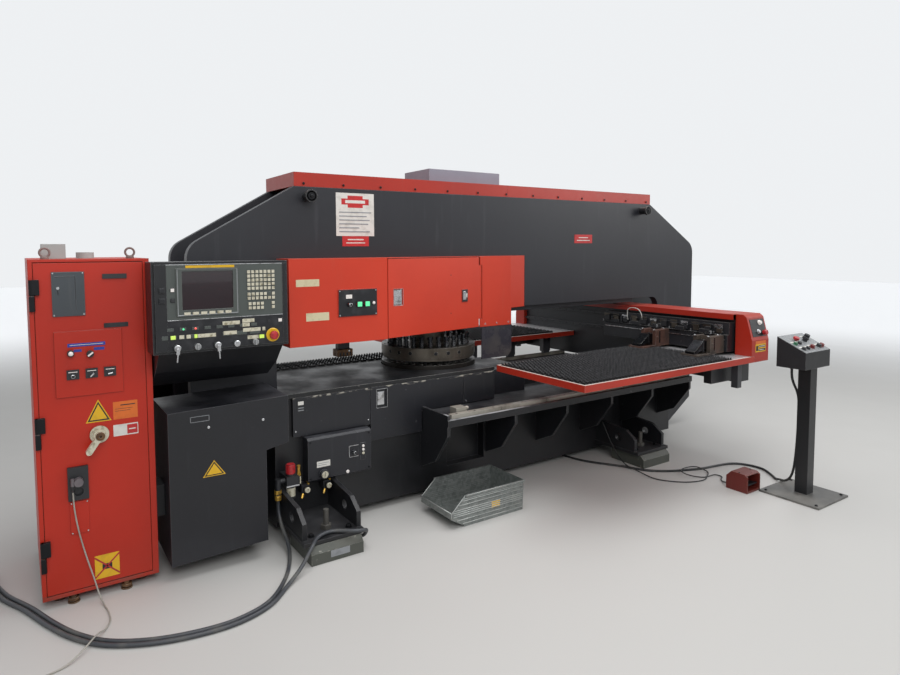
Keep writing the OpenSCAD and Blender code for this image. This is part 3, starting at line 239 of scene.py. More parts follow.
def free_hose(name, route, turn_r, replaced):
    """A hose along its route and then round the coil, with its crimped brass end."""
    wound = []
    for k in range(int(coil_turns * 30) + 1):
        a = math.radians(12 * k)
        lift = hose_r + 0.0005 + 2 * hose_r * k / 30
        wound.append(Vector((coil_x + turn_r * math.cos(a), coil_y + turn_r * math.sin(a), lift)))
    line = spline(route[:-1] + wound[::2], 6)
    bm = bmesh.new()
    tube_in(bm, line, hose_r)
    hose = new_piece(name, bm, hose_rubber, "frame")
    end = line[-1]
    along = (end - line[-2]).normalized()
    crimp = [(-0.022, 1.12), (-0.021, 1.25), (0.004, 1.25), (0.005, 0.95), (0.012, 0.95), (0.013, 1.35),
             (0.026, 1.35), (0.027, 0.7), (0.048, 0.7), (0.049, 0.55)]
    bm = bmesh.new()
    tube_in(bm, [end + along * step for step, _ in crimp], [hose_r * r for _, r in crimp])
    tip = new_piece(name + "_end", bm, brass, "frame")
    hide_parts(*replaced)
    length = sum((b - a).length for a, b in zip(line, line[1:]))


free_hose("air_hose_main", [
    (-1.485, -0.175, 0.240), (-1.485, -0.175, 0.215), (-1.486, -0.185, 0.170), (-1.486, -0.230, 0.110),
    (-1.488, -0.320, 0.055), (-1.518, -0.430, 0.020), (-1.600, -0.590, 0.0105), (-1.736, -0.751, 0.0105),
    (-1.900, -0.815, 0.0105), (-2.064, -0.812, 0.0105), (-2.240, -0.765, 0.0105), (-2.395, -0.675, 0.0105),
    (-2.500, -0.550, 0.0105), (-2.580, -0.400, 0.0105), (-2.665, -0.200, 0.0105), (-2.755, -0.020, 0.0105),
    (-2.800, 0.070, 0.0105)], 0.131, ["air_hose", "air_hose_coil"])
free_hose("air_hose_floor", [
    (-1.080, 0.145, 0.028), (-1.080, 0.040, 0.014), (-1.084, -0.120, 0.012), (-1.090, -0.300, 0.014),
    (-1.098, -0.440, 0.040), (-1.118, -0.530, 0.110), (-1.185, -0.545, 0.128), (-1.290, -0.470, 0.124),
    (-1.380, -0.490, 0.124), (-1.450, -0.560, 0.108), (-1.520, -0.604, 0.050), (-1.618, -0.672, 0.015),
    (-1.744, -0.786, 0.011), (-1.900, -0.842, 0.0105), (-2.070, -0.838, 0.0105), (-2.252, -0.790, 0.0105),
    (-2.415, -0.695, 0.0105), (-2.524, -0.564, 0.0105), (-2.605, -0.410, 0.0105), (-2.690, -0.210, 0.0105),
    (-2.782, -0.028, 0.0105), (-2.830, 0.070, 0.0105)], 0.109, ["floor_hose"])

# Socket lead
# A thin grey cable with a moulded plug in the service socket of the cabinet door. It hangs down the door,
# crosses the hoses in a low hump and ends in its connector outside the picture.
grey_cable = rubber("grey_cable", "a7a49c", "6f6a60", 160)
dark_plastic, dark_shader, dark_place = surface("dark_plastic", "232427", 0.45)
feed(dark_shader, Roughness=noise(dark_place, 40) * 0.25 + 0.33,
     Normal=bump(noise(dark_place, 600, 2), 0.12, 0.0003))


def declared_cable(name, route, radius, material, body, replaced):
    line = spline(route, 8)
    bm = bmesh.new()
    tube_in(bm, line, radius, 10)
    cable = new_piece(name, bm, material, body)
    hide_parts(replaced)
    length = sum((b - a).length for a, b in zip(line, line[1:]))
    return cable


bm = bmesh.new()
boot_top, boot_long, boot_thick, cable_thick = Vector((-2.484, -0.285, 0.568)), 0.030, 0.0075, 0.0042
tube_in(bm, [boot_top + Vector((0, 0, -1)) * boot_long * k / 12 for k in range(13)],
        [boot_thick + (cable_thick - boot_thick) * k / 12 - (0.0006 if k % 2 else 0) for k in range(13)])
lead_boot = new_piece("socket_plug_boot", bm, dark_plastic, "cabinet_door")
socket_lead = declared_cable("socket_lead_main", [
    (-2.484, -0.285, 0.566), (-2.484, -0.285, 0.525), (-2.480, -0.281, 0.450), (-2.466, -0.277, 0.345),
    (-2.440, -0.275, 0.220), (-2.415, -0.282, 0.120), (-2.396, -0.305, 0.040), (-2.382, -0.350, 0.006),
    (-2.372, -0.420, 0.004), (-2.374, -0.500, 0.004), (-2.400, -0.570, 0.010), (-2.430, -0.620, 0.028),
    (-2.458, -0.665, 0.034), (-2.500, -0.715, 0.026), (-2.560, -0.752, 0.008), (-2.640, -0.772, 0.004),
    (-2.720, -0.780, 0.004), (-2.800, -0.780, 0.012)], 0.0035, grey_cable, None, "socket_lead")
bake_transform(socket_lead)

# Pedestal cable and foot cable
# A thick black cable hangs from the desk behind its post and runs under the base. A thin one comes from the
# foot switch, lies in two loose loops and climbs to its gland on the base.
black_cable = rubber("black_cable", "1c1d20", "5b5a56", 120)
declared_cable("pedestal_cable_main", [
    (1.619, -1.370, 0.841), (1.619, -1.370, 0.800), (1.630, -1.370, 0.762), (1.655, -1.370, 0.722),
    (1.688, -1.370, 0.682), (1.712, -1.370, 0.636), (1.722, -1.370, 0.580), (1.724, -1.369, 0.480),
    (1.721, -1.367, 0.340), (1.716, -1.362, 0.210), (1.712, -1.352, 0.120), (1.714, -1.330, 0.062),
    (1.724, -1.292, 0.030), (1.742, -1.248, 0.020), (1.766, -1.208, 0.0095), (1.800, -1.170, 0.0085),
    (1.842, -1.118, 0.0085), (1.884, -1.050, 0.0085), (1.885, -0.970, 0.0085), (1.850, -0.890, 0.0085),
    (1.782, -0.842, 0.0085), (1.660, -0.815, 0.0085), (1.521, -0.792, 0.0085), (1.422, -0.757, 0.0085),
    (1.322, -0.715, 0.0085), (1.225, -0.655, 0.0085), (1.140, -0.570, 0.0085), (1.085, -0.450, 0.0085),
    (1.020, -0.340, 0.0085), (0.968, -0.260, 0.0085), (0.925, -0.166, 0.0085), (0.898, -0.040, 0.0085),
    (0.890, 0.080, 0.012), (0.890, 0.162, 0.020)],
    0.008, black_cable, "frame", "pedestal_cable")
declared_cable("foot_cable_main", [
    (1.400, -1.095, 0.020), (1.400, -1.075, 0.018), (1.408, -1.040, 0.008), (1.440, -1.000, 0.0045),
    (1.500, -0.965, 0.0045), (1.490, -0.915, 0.0045), (1.390, -0.905, 0.0045), (1.310, -0.860, 0.016),
    (1.300, -0.790, 0.022), (1.370, -0.740, 0.022), (1.480, -0.770, 0.024), (1.500, -0.850, 0.008),
    (1.430, -0.900, 0.0045), (1.330, -0.935, 0.0045), (1.210, -0.900, 0.0045), (1.120, -0.820, 0.0045),
    (1.070, -0.720, 0.0045), (1.062, -0.600, 0.018), (1.075, -0.500, 0.022), (1.110, -0.420, 0.024),
    (1.140, -0.330, 0.060), (1.146, -0.250, 0.150), (1.148, -0.180, 0.262), (1.148, -0.130, 0.308),
    (1.148, -0.0903, 0.310)], 0.004, black_cable, "frame", "foot_cable")

# Floor and lamps
# A plain pale floor with wide soft boxes above, as in a studio. The backdrop shows white to the eye and to
# shiny metal, while the lamps alone set the level on the machine.
floor_paint, floor_shader, floor_place = surface("studio_floor", "c9c8c5", 0.55)
away = floor_place.add("ShaderNodeVectorMath", {0: floor_place}, out=1, operation="LENGTH")
camera_ray = floor_place.add("ShaderNodeLightPath")
floor_shader.inputs["Emission Strength"].default_value = 1.0
feed(floor_shader, Roughness=noise(floor_place, 3) * 0.2 + 0.45,
     Emission_Color=blend_colours(ink("000000"), ink("c9ccd0"), limits(away, 5.0, 12.0) * camera_ray))
bm = bmesh.new()
bmesh.ops.create_grid(bm, x_segments=1, y_segments=1, size=30)
floor = new_piece("studio_floor", bm, floor_paint, None)
floor.location.z = -0.0005

sky = bpy.data.worlds.new("studio_sky")
bpy.context.scene.world = sky
sky.use_nodes = True
background = sky.node_tree.nodes["Background"]
rays = [Wire(sky.node_tree).add("ShaderNodeLightPath", out=k) for k in (0, 3, 6)]
seen = rays[0] + rays[1] + rays[2]
level = seen.maths("MINIMUM", seen, 1.0) * 0.57 + 0.35
background.inputs["Color"].default_value = (0.93, 0.95, 0.97, 1)
sky.node_tree.links.new(level.socket, background.inputs["Strength"])
for name, place, aim, size, power in (("lamp_front", (-2.5, -5.5, 4.2), (0, 0, 0.8), (4.0, 2.5), 150),
                                      ("lamp_top", (0.5, -0.5, 5.2), (0.3, 0, 0.5), (6.0, 3.0), 175),
                                      ("lamp_right", (5.5, -3.5, 3.6), (1.0, 0, 0.8), (3.0, 2.5), 85)):
    lamp = bpy.data.lights.new(name, "AREA")
    lamp.shape, lamp.size, lamp.size_y, lamp.energy = "RECTANGLE", size[0], size[1], power
    softbox = bpy.data.objects.new(name, lamp)
    bpy.context.collection.objects.link(softbox)
    softbox.location = place
    softbox.rotation_euler = (Vector(aim) - Vector(place)).to_track_quat("-Z", "Y").to_euler()

# Frame plates
# Two flame-cut steel plates joined by a box of cross members, filled and sprayed satin black. The enamel has
# a little orange peel, dust on its ledges and rubbed edges. The front one carries three thin printed plates.
plate_front = 0.082


def axis_of(place, axis):
    """One coordinate of a place: 0 for x, 1 for y, 2 for z."""
    return place.add("ShaderNodeSeparateXYZ", {0: place}, out=axis)


def round_edges(place, radius):
    """The normal with edges rounded to this radius, the flat normal, and how far the two turn apart."""
    soft = place.add("ShaderNodeBevel", {"Radius": radius}, samples=4)
    flat = place.add("ShaderNodeNewGeometry", out=1)
    return soft, flat, 1 - place.add("ShaderNodeVectorMath", {0: soft, 1: flat}, out=1,
                                     operation="DOT_PRODUCT")


def enamel(name, colour, cloudy, worn, dust="8d8a82", roughness=0.42, chips=0.5, round_edge=0.004, skin=0.22,
           special=None):
    """Sprayed enamel: cloudy colour, rubbed edges, dust on what faces up, streaks and fine scratches."""
    material, shader, place = surface(name, colour, roughness)
    grain = noise(place, 26, 5)
    cloud = limits(noise(place, 1.7, 4), 0.35, 0.7)
    soft, flat, turned = round_edges(place, round_edge)
    rubbed = limits(turned * 2.2 + (noise(place, 40, 4) - 0.5) * chips, 0.16, 0.34)
    facing = axis_of(flat, 2)
    dusty = limits(facing, 0.5, 0.95) * limits(noise(place, 5, 5), 0.3, 0.75)
    streak = limits(noise(place, 3.0, 5, (7, 7, 0.7)), 0.58, 0.8)
    splashed = (1 - limits(axis_of(place, 2), 0.0, 0.35)) * noise(place, 9, 4)
    scratch = limits(noise(place, 30, 2, (1, 1, 14)), 0.7, 0.76) * 0.3
    colours = blend_colours(ink(colour), ink(cloudy), cloud * 0.6 + grain * 0.25)
    for share in (dusty * 0.42, streak * 0.12, splashed * 0.22):
        colours = blend_colours(colours, ink(dust), share)
    colours = blend_colours(colours, ink(worn), rubbed * 0.75 + scratch * 0.25)
    if special:
        colours = special(place, facing, colours)
    feed(shader, Base_Color=colours, Roughness=grain * 0.16 + dusty * 0.25 + (roughness - 0.08),
         Normal=bump(noise(place, 210, 2), skin, 0.0004, soft))
    return material


def film(name, colour, stained, roughness=0.4):
    """Printed vinyl or engraved plate: a flat tint with yellowed, scuffed patches."""
    material, shader, place = surface(name, colour, roughness)
    stain = limits(noise(place, 22, 5), 0.45, 0.72)
    feed(shader, Base_Color=blend_colours(ink(colour), ink(stained), stain * 0.5),
         Roughness=stain * 0.25 + roughness - 0.1)
    return material


def dress(material, *names):
    for name in names:
        for place in nodes[name].material_slots:
            place.material = material


def box_in(bm, x0, x1, y0, y1, z0, z1, soft=0.0, slot=0, turn=None):
    """A block between the given planes, its edges rounded by soft and then moved by the matrix turn."""
    made = bmesh.ops.create_cube(bm, size=1)["verts"]
    for v in made:
        share = v.co + Vector((0.5, 0.5, 0.5))
        v.co = Vector((x0 + share.x * (x1 - x0), y0 + share.y * (y1 - y0), z0 + share.z * (z1 - z0)))
        if turn:
            v.co = turn @ v.co
    for face in {f for v in made for f in v.link_faces}:
        face.material_index = slot
    if soft:
        edges = list({e for v in made for e in v.link_edges})
        for face in bmesh.ops.bevel(bm, geom=edges, offset=soft, segments=2, affect="EDGES",
                                    profile=0.5)["faces"]:
            face.material_index = slot


def plate_label(name, body, x0, x1, z0, z1, y, plate, marks=(), thick=0.0012):
    """A thin plate on a face that looks to the front; marks are (material, x0, x1, z0, z1) shares of it."""
    bm = bmesh.new()
    wide, high = x1 - x0, z1 - z0
    layers = [(plate, 0, 1, 0, 1), *marks]
    for k, (_, a, b, c, d) in enumerate(layers):
        box_in(bm, x0 + a * wide, x0 + b * wide, y - thick - 0.0002 * k, y, z0 + c * high,
               z0 + d * high, 0.0003, k)
    new_piece(name, bm, [layer[0] for layer in layers], body)


black_enamel = enamel("black_enamel", "1a1b21", "222329", "606166", dust="5f5f64")
dress(black_enamel, "front_plate", "rear_plate", "cross_members")
white_film = film("white_film", "dcdad4", "b3b0a7")
red_film = film("red_film", "bf2a2b", "8f2421")
grey_film = film("grey_film", "8f9296", "6c6e71")
line_ends = (0.92, 0.80, 0.88, 0.84, 0.60, 0.88)
plate_label("placard_large", "frame", -0.990, -0.725, 1.721, 1.989, plate_front, white_film, [
    (red_film, 0.30, 0.70, 0.66, 0.94), (red_film, 0.14, 0.86, 0.73, 0.87),
    (white_film, 0.24, 0.76, 0.765, 0.835),
    *((grey_film, 0.08, end, 0.54 - 0.09 * k, 0.565 - 0.09 * k) for k, end in enumerate(line_ends))])
plate_label("placard_small", "frame", -0.949, -0.764, 1.657, 1.720, plate_front, red_film, [
    (white_film, 0.20, 0.80, 0.60, 0.72), (white_film, 0.14, 0.86, 0.28, 0.38)])
plate_label("placard_right", "frame", 1.079, 1.281, 1.677, 1.746, plate_front, red_film, [
    (white_film, 0.24, 0.76, 0.60, 0.70), (white_film, 0.14, 0.86, 0.28, 0.38)])


# Lifting trunnions
# Turned steel stubs with a collar, bolted into the plates for the crane slings and left nearly black.
plate_rear, to_top = 0.578, (0, 0, 1)


def turned_in(bm, profile, place, axis=to_top, sides=20, slot=0):
    """A turned piece: profile is (distance along the axis, radius) pairs."""
    along = Vector(axis).normalized()
    across = along.cross(Vector((1, 0, 0)) if abs(along.x) < 0.8 else Vector((0, 0, 1))).normalized()
    rings = [ring_at(bm, Vector(place) + along * step, across, along.cross(across), max(r, 1e-5), sides)
             for step, r in profile]
    skin_rings(bm, rings, slot, False)


black_screw, screw_shader, screw_place = surface("black_screw", "17181b", 0.4, 0.6)
feed(screw_shader, Roughness=noise(screw_place, 80) * 0.3 + 0.28)
dress(enamel("trunnion_black", "141518", "1c1d20", "8a8680", roughness=0.35, chips=0.9), "lifting_trunnions")
bm = bmesh.new()
for x in (-1.18, 1.885):
    for y, out in ((plate_front, -1), (plate_rear, 1)):
        turned_in(bm, [(0.0781, 0.030), (0.0781, 0.022), (0.070, 0.020), (0.070, 0.010), (0.084, 0.0095),
                       (0.086, 0.007)], (x, y, 1.955), (0, out, 0), 24)
new_piece("trunnion_bolts", bm, black_screw, "frame")


# Base and feet
# A welded box base in a deeper black, on four ribbed feet. Each foot's levelling screw stands on a grey cast
# block whose paint is chipped and stained.
def zinc_screw(place, facing, colours):
    """The levelling screw in the block is dull zinc."""
    return blend_colours(colours, ink("4d4b47"), axis_of(place, 2) > 0.0905)


def edge_shine(place, facing, colours):
    """The shelf's front lip is worn to bare metal over its first half."""
    x, y, z = (axis_of(place, k) for k in range(3))
    lip = (facing > 0.8) * (z > 0.586) * (y < -0.352) * (y > -0.42)
    bare = lip * (1 - limits(x, -0.1, 0.9)) * limits(noise(place, 7, 4), 0.3, 0.55)
    return blend_colours(colours, ink("b4b6ba"), bare * 0.85)


dress(enamel("base_black", "0d0e11", "15161a", "57575b", dust="4b4b4d", chips=0.8), "base_frame",
      "foot_brackets")
dress(enamel("shelf_black", "131418", "1b1c20", "8d8d8e", dust="4b4b4d", chips=0.9, special=edge_shine),
      "guide_shelves")
dress(enamel("block_grey", "474b45", "383b37", "b5b3a8", dust="77746b", roughness=0.5, chips=1.1,
             special=zinc_screw), "levelling_blocks")
middle_y = 0.330
bm = bmesh.new()
for foot_x in (-1.293, 1.330):
    for x in (foot_x - 0.110, foot_x + 0.110):
        for y in (middle_y - 0.774, middle_y + 0.774):
            turned_in(bm, [(0, 0.020), (0.002, 0.020), (0.002, 0.014), (0.014, 0.014), (0.016, 0.012)],
                      (x, y, 0.112), to_top, 6)
new_piece("foot_bolts", bm, black_screw, "frame")
plate_label("block_sticker", "frame", -1.335, -1.225, 0.022, 0.058, -0.545, grey_film, thick=0.0008)

# Top covers and head box
# Folded red sheet trays close the top of the bridge and meet in one seam; a lilac-grey box covers the head.
cover_red = enamel("cover_red", "ad2a19", "9a2415", "762718", dust="965040", roughness=0.38,
                   chips=0.35, skin=0.12)
dress(cover_red, "top_covers")
dress(enamel("head_grey", "8d8b98", "7b7a86", "c5c4c8", roughness=0.45), "ram_cover_box")
tray_hem = 0.0045
bm = bmesh.new()
for y, out in ((plate_front - tray_hem, -1), (plate_rear + tray_hem, 1)):
    for k in range(13):
        turned_in(bm, [(0, 0.008), (0.001, 0.008), (0.0025, 0.006), (0.0025, 0.003)],
                  (-1.2 + 0.262 * k, y, 2.034), (0, out, 0), 12)
new_piece("tray_screws", bm, black_screw, "frame")

# Turret covers and door
# Folded red sheet round the turret. The middle panel is a door on a long pin hinge with a sunk paddle latch.
# The left panel carries the control plate with two lit squares, and strips of old tape.
to_front = (0, -1, 0)
dress(enamel("shade_red", "d03c22", "c2341c", "8c2c1c", dust="b0644c", roughness=0.36, chips=0.3, skin=0.1),
      "turret_covers", "turret_door")
bright_steel = spotted("bright_steel", "cbccce", "8d8c8a", (30, 0.5, 0.75), (60, 0.25, 0.14), 1.0,
                       grain=(None, (1, 1, 12)))
cream_plastic = spotted("cream_plastic", "cdc8b4", "8f876d", (55, 0.48, 0.75), (60, 0.2, 0.3))
dress(bright_steel, "door_latch")


def lens(name, colour, strength):
    """A lit lens: the tint of its plastic and a little light of its own."""
    material, shader, place = surface(name, colour, 0.25, 0, 0.5)
    shader.inputs["Emission Strength"].default_value = strength
    feed(shader, Emission_Color=blend_colours(ink(colour), ink("ffffff"), noise(place, 200, 2) * 0.25))
    return material


black_film = film("black_film", "1b1c20", "2c2d31")
controls = [dark_plastic, bright_steel, lens("glowing_white", "e0dad6", 0.15), lens("green_lens", "3fd08a", 0.7),
            lens("red_lens", "ff4a3c", 0.6), lens("lime_lens", "b9d84a", 0.5), cream_plastic, black_film]
plastic, steel, white, green, red, lime, cream, black = range(8)


def button_in(bm, kind, x, z, y, size, slot, tilt=0.0):
    """A control on a face that looks to the front: a round button, a lamp, a square lens or a turn switch."""
    def round_in(profile, colour):
        turned_in(bm, [(step * size, r * size) for step, r in profile], (x, y, z), to_front, 20, colour)

    if kind == "square":
        box_in(bm, x - size, x + size, y - size * 0.30, y, z - size, z + size, size * 0.08, plastic)
        inner = size * 0.8
        box_in(bm, x - inner, x + inner, y - size * 0.55, y, z - inner, z + inner, size * 0.15, slot)
        return
    round_in([(0, 1), (0.28, 1), (0.34, 0.9), (0.34, 0.7)], plastic)
    if kind == "lamp":
        round_in([(0, 0.7), (0.5, 0.7), (0.72, 0.52), (0.84, 0.26), (0.87, 0)], slot)
    if kind == "switch":
        round_in([(0, 0.8), (0.5, 0.78), (0.5, 0)], plastic)
        turn = Matrix.Translation((x, y, z)) @ Matrix.Rotation(tilt, 4, "Y")
        box_in(bm, -size * 0.22, size * 0.22, -size * 1.1, -size * 0.4, -size * 0.85, size * 0.85,
               size * 0.1, slot, turn)
    if kind == "key":
        round_in([(0, 0.66), (0.5, 0.66), (0.55, 0.55), (0.2, 0.5)], slot)
        box_in(bm, x - size * 0.08, x + size * 0.08, y - size * 0.4, y, z - size * 0.35, z + size * 0.35)


def pan_heads_in(bm, columns, rows, y, radius, high, slot):
    """Small flat screw heads, one where each column crosses each row."""
    for x in columns:
        for z in rows:
            turned_in(bm, [(0, radius), (high, radius - 0.001), (high, 0)], (x, y, z), to_front, 8, slot)


def outline_in(bm, x0, x1, y0, y1, z0, z1, post, rail, soft):
    """A thin frame of four strips: post is the width of the upright ones and rail that of the others."""
    for a, b, c, d in ((x0, x1, z1 - rail, z1), (x0, x1, z0, z0 + rail), (x0, x0 + post, z0, z1),
                       (x1 - post, x1, z0, z1)):
        box_in(bm, a, b, y0, y1, c, d, soft)


cover_face, control_face = -0.114, -0.1215
bm = bmesh.new()
box_in(bm, -1.074, -0.818, control_face, -0.120, 1.238, 1.398, 0.0008, black)
button_in(bm, "square", -0.942, 1.309, -0.1300, 0.018, green)
button_in(bm, "square", -0.890, 1.309, -0.1300, 0.018, green)
button_in(bm, "key", -1.004, 1.309, -0.1360, 0.014, steel)
button_in(bm, "lamp", -0.842, 1.312, control_face, 0.013, white)
pan_heads_in(bm, (-1.066, -0.826), (1.246, 1.390), control_face, 0.005, 0.002, steel)
# Painted glow: this small white plate takes the glowing white lens material, though it is no lamp.
box_in(bm, -1.026, -0.986, -0.1222, control_face, 1.345, 1.368, 0.0002, white)
new_piece("cover_controls", bm, controls, "frame")
cream_tape = film("cream_tape", "d6cba8", "a08f62")
plate_label("tape_upper", "frame", -1.334, -1.192, 1.425, 1.466, cover_face, cream_tape, thick=0.0006)
plate_label("tape_lower", "frame", -1.276, -1.133, 1.224, 1.271, cover_face, cream_tape, thick=0.0006)
door_place = Matrix.Translation((0.1, 0.036, 0)) @ Matrix.Rotation(math.atan2(0.150, 0.840), 4, "Z")
bm = bmesh.new()
box_in(bm, -0.196, -0.140, -0.0092, -0.008, 1.272, 1.356, 0.0004, 0)
box_in(bm, -0.188, -0.160, -0.0135, -0.008, 1.284, 1.344, 0.002, 1)
box_in(bm, -0.155, -0.145, -0.0110, -0.008, 1.300, 1.330, 0.001, 2)
pan_heads_in(bm, (-0.30,), (1.20, 1.46), -0.004, 0.004, 0.0015, 0)
bm.transform(door_place)
new_piece("door_catch", bm, [dark_plastic, bright_steel, white_film], "turret_door")
bm = bmesh.new()
outline_in(bm, -0.809, -0.729, -0.0055, -0.004, 1.282, 1.389, 0.0025, 0.0025, 0.0004)
bm.transform(door_place)
new_piece("latch_frame", bm, bright_steel, "turret_door")


# Turret
# Two thick steel discs, oiled and browned by work. Thirty stations take guided punches above and dies below;
# each punch but the one under the ram is lifted by its own coil spring. Rim holes sit in groups of three;
# each is drawn as a black disc in a steel ring, painted shade for the hole.
def worked_steel(name, bright, oiled, roughness=0.34, scale=1.0, shine=0.9):
    """Bare machined steel: turning marks, oil film and brown stains."""
    material, shader, place = surface(name, bright, roughness, shine)
    stain = limits(noise(place, 7 * scale, 5), 0.4, 0.72)
    fine = noise(place, 90 * scale, 3, (1, 1, 6))
    soft, _, turned = round_edges(place, 0.0025)
    colours = blend_colours(ink(bright), ink(oiled), stain * 0.85)
    feed(shader, Base_Color=blend_colours(colours, ink("c9c7c2"), limits(turned, 0.05, 0.2) * 0.5),
         Roughness=stain * 0.2 + fine * 0.2 + roughness - 0.12, Normal=bump(fine, 0.12, 0.0004, soft))
    return material


turret_x, turret_y, stations, ram_station, pitch_r, disc_r = -0.155, 0.330, 30, 15, 0.280, 0.340
disc_top, rim_middle, punch_head, flush = 0.960, 0.925, 1.032, 0.00012
turret_steel = worked_steel("turret_steel", "5e5850", "332d26", shine=0.75)
tool_steel = worked_steel("tool_steel", "34363a", "121214", 0.26, 2.0)
dress(turret_steel, "upper_turret", "ram")
dress(worked_steel("lower_steel", "35322f", "1c1a18", 0.36), "lower_turret")
dress(tool_steel, "punches", "active_punch", "jaw_near", "jaw_far")


def from_shaft(degrees, radius, z):
    a = math.radians(degrees)
    return Vector((turret_x + radius * math.cos(a), turret_y + radius * math.sin(a), z))


spring_r, spring_rise, wire_r = 0.0158, 0.0008, 0.0019
bm = bmesh.new()
for k in range(1, stations):
    if k == ram_station:
        continue
    place = from_shaft(12 * k, pitch_r, 0.9675)
    tube_in(bm, [place + Vector((spring_r * math.cos(t * 0.628), spring_r * math.sin(t * 0.628),
                                 spring_rise * t))
                 for t in range(31)], wire_r, 5)
    turned_in(bm, [(0, 0.0120), (flush, 0.0110), (flush, 0.0045), (-0.002, 0.004)],
              (place.x, place.y, punch_head), to_top, 12)
new_piece("punch_springs", bm, worked_steel("spring_steel", "77787a", "2a2a2c", 0.28, 3.0), "turret_upper")
bm = bmesh.new()
# Painted shade: each rim hole is a black disc set in a steel ring on the rim.
for degrees in (60 * group + 15 * k + 6 for group in range(6) for k in range(3)):
    rim = from_shaft(degrees, disc_r, rim_middle)
    out = rim - Vector((turret_x, turret_y, rim_middle))
    turned_in(bm, [(-0.003, 0.0145), (0.0006, 0.0140)], rim, out, 20, 1)
    turned_in(bm, [(0.0004, 0.0125), (0.0009, 0.0120)], rim, out, 20)
for k in range(12):
    turned_in(bm, [(0, 0.0075), (0.0012, 0.0065), (0.0012, 0.003), (-0.001, 0.003)],
              from_shaft(30 * k + 14, 0.325, disc_top), to_top, 10)
new_piece("top_plugs_and_rim_hole_shades", bm, [black_screw, turret_steel], "turret_upper")


# Guard and pin unit
# A sheet of smoked plastic stands beside the active station. Left of the turret a brown cast block with the
# locating pin hangs under the frame on its bracket.
def cap_screws(name, places, axis, radius, material, sides=12):
    """Socket cap screws: a round head with a bevelled rim and a sunk hexagon."""
    bm = bmesh.new()
    high = radius * 0.7
    for place in places:
        turned_in(bm, [(0, radius), (high * 0.85, radius), (high, radius * 0.88), (high, radius * 0.5),
                       (high * 0.4, radius * 0.48)], place, axis, sides)
    new_piece(name, bm, material, "frame")


dress(spotted("smoked_plastic", "34323a", "55504c", (6, 0.4, 0.8), (12, 0.3, 0.12)), "turret_guard")
cap_screws("guard_screws", [(x, 0.040, 1.098) for x in (0.145, 0.25, 0.36)], to_front, 0.007, bright_steel)
iron_brown = worked_steel("iron_brown", "7a5a3c", "4a3424", 0.5, 3.0, 0.4)
bm = bmesh.new()
box_in(bm, -0.846, -0.730, 0.400, 0.480, 0.902, 0.952, 0.003, 0)
box_in(bm, -0.830, -0.746, 0.420, 0.470, 0.952, 1.165, 0.002, 1)
for x in (-0.826, -0.800, -0.774, -0.748):
    box_in(bm, x - 0.005, x + 0.005, 0.3985, 0.402, 0.908, 0.930, 0.001, 1)
turned_in(bm, [(0, 0.008), (0.004, 0.008), (0.005, 0.006)], (-0.760, 0.3995, 0.940), to_front, 6, 2)
new_piece("pin_unit", bm, [iron_brown, black_enamel, bright_steel], "frame")


# Fixed tables and front covers
# The deck round the turret is black, with nylon brush tufts on its rear half that carry the sheet. The sheet
# covers below it have bare worn upper edges, a bright pull latch and small plates.
def rubbed_top(place, facing, colours):
    edge = limits(axis_of(place, 2), 0.772, 0.788) * (axis_of(place, 1) < -0.088)
    bare = edge * limits(noise(place, 16, 6, (1, 1, 3)), 0.52, 0.60)
    return blend_colours(colours, ink("b9b4a8"), bare * 0.9)


def tufts_in(bm, x0, x1, y0, y1, z0, z1, pitch, spread=0.0052):
    """A field of nylon tufts: each is six bundles of bristles that lean apart, drawn as thin pyramids."""
    foot_r = 0.0034
    row, y = 0, y0 + pitch * 0.5
    while y < y1 - pitch * 0.3:
        x = x0 + pitch * (0.75 if row % 2 else 0.35)
        while x < x1 - pitch * 0.3:
            for lean in range(6):
                a = lean * 1.0472 + row * 1.7 + x * 91
                tip = bm.verts.new((x + spread * math.cos(a), y + spread * math.sin(a),
                                    z1 - 0.0022 * abs(math.sin(a * 3.1 + row))))
                foot_x, foot_y = x + spread * 0.3 * math.cos(a), y + spread * 0.3 * math.sin(a)
                foot = [bm.verts.new((foot_x + foot_r * math.cos(a + b),
                                      foot_y + foot_r * math.sin(a + b), z0))
                        for b in (0, 2.094, 4.189)]
                for k in range(3):
                    bm.faces.new((foot[k], foot[(k + 1) % 3], tip))
            x += pitch
        y, row = y + pitch * 0.866, row + 1


cover_front = -0.115
brush_black, brush_shader, brush_place = surface("brush_black", "151618", 0.6)
# Painted highlight: the upper tips of the tufts are mixed towards pale grey, the rest stays near black.
lit_tips = limits(axis_of(brush_place, 2), 0.8485, 0.8595)
feed(brush_shader,
     Base_Color=blend_colours(ink("050608"), ink("c2c3c8"), lit_tips * (noise(brush_place, 60, 3) * 0.8 + 0.2)))
dress(enamel("deck_black", "0c0d10", "141519", "8d8b86", dust="3a3a3c", roughness=0.36, chips=0.9,
             round_edge=0.006), "fixed_tables")
dress(enamel("plate_black", "15161b", "1d1e24", "77777a", dust="55565a", roughness=0.4, chips=0.9,
             special=rubbed_top), "front_covers")
bm = bmesh.new()
tufts_in(bm, -1.298, -0.170, 0.600, 0.798, 0.826, 0.8385, 0.022)
new_piece("deck_tufts", bm, brush_black, "frame")
bm = bmesh.new()
box_in(bm, -0.8158, -0.7690, -0.1098, -0.1088, 0.6715, 0.7535, 0.0004)
box_in(bm, -0.8125, -0.7725, -0.1140, -0.1098, 0.6950, 0.7500, 0.0015)
outline_in(bm, -0.826, -0.748, -0.1162, cover_front, 0.6525, 0.7725, 0.002, 0.0025, 0.0004)
new_piece("cover_pull", bm, bright_steel, "frame")
plate_label("cover_tag", "frame", -1.343, -1.294, 0.688, 0.777, cover_front, black_film, [
    (white_film, 0.15, 0.85, 0.62, 0.86), (grey_film, 0.15, 0.85, 0.40, 0.46),
    (grey_film, 0.15, 0.85, 0.24, 0.30)], 0.001)
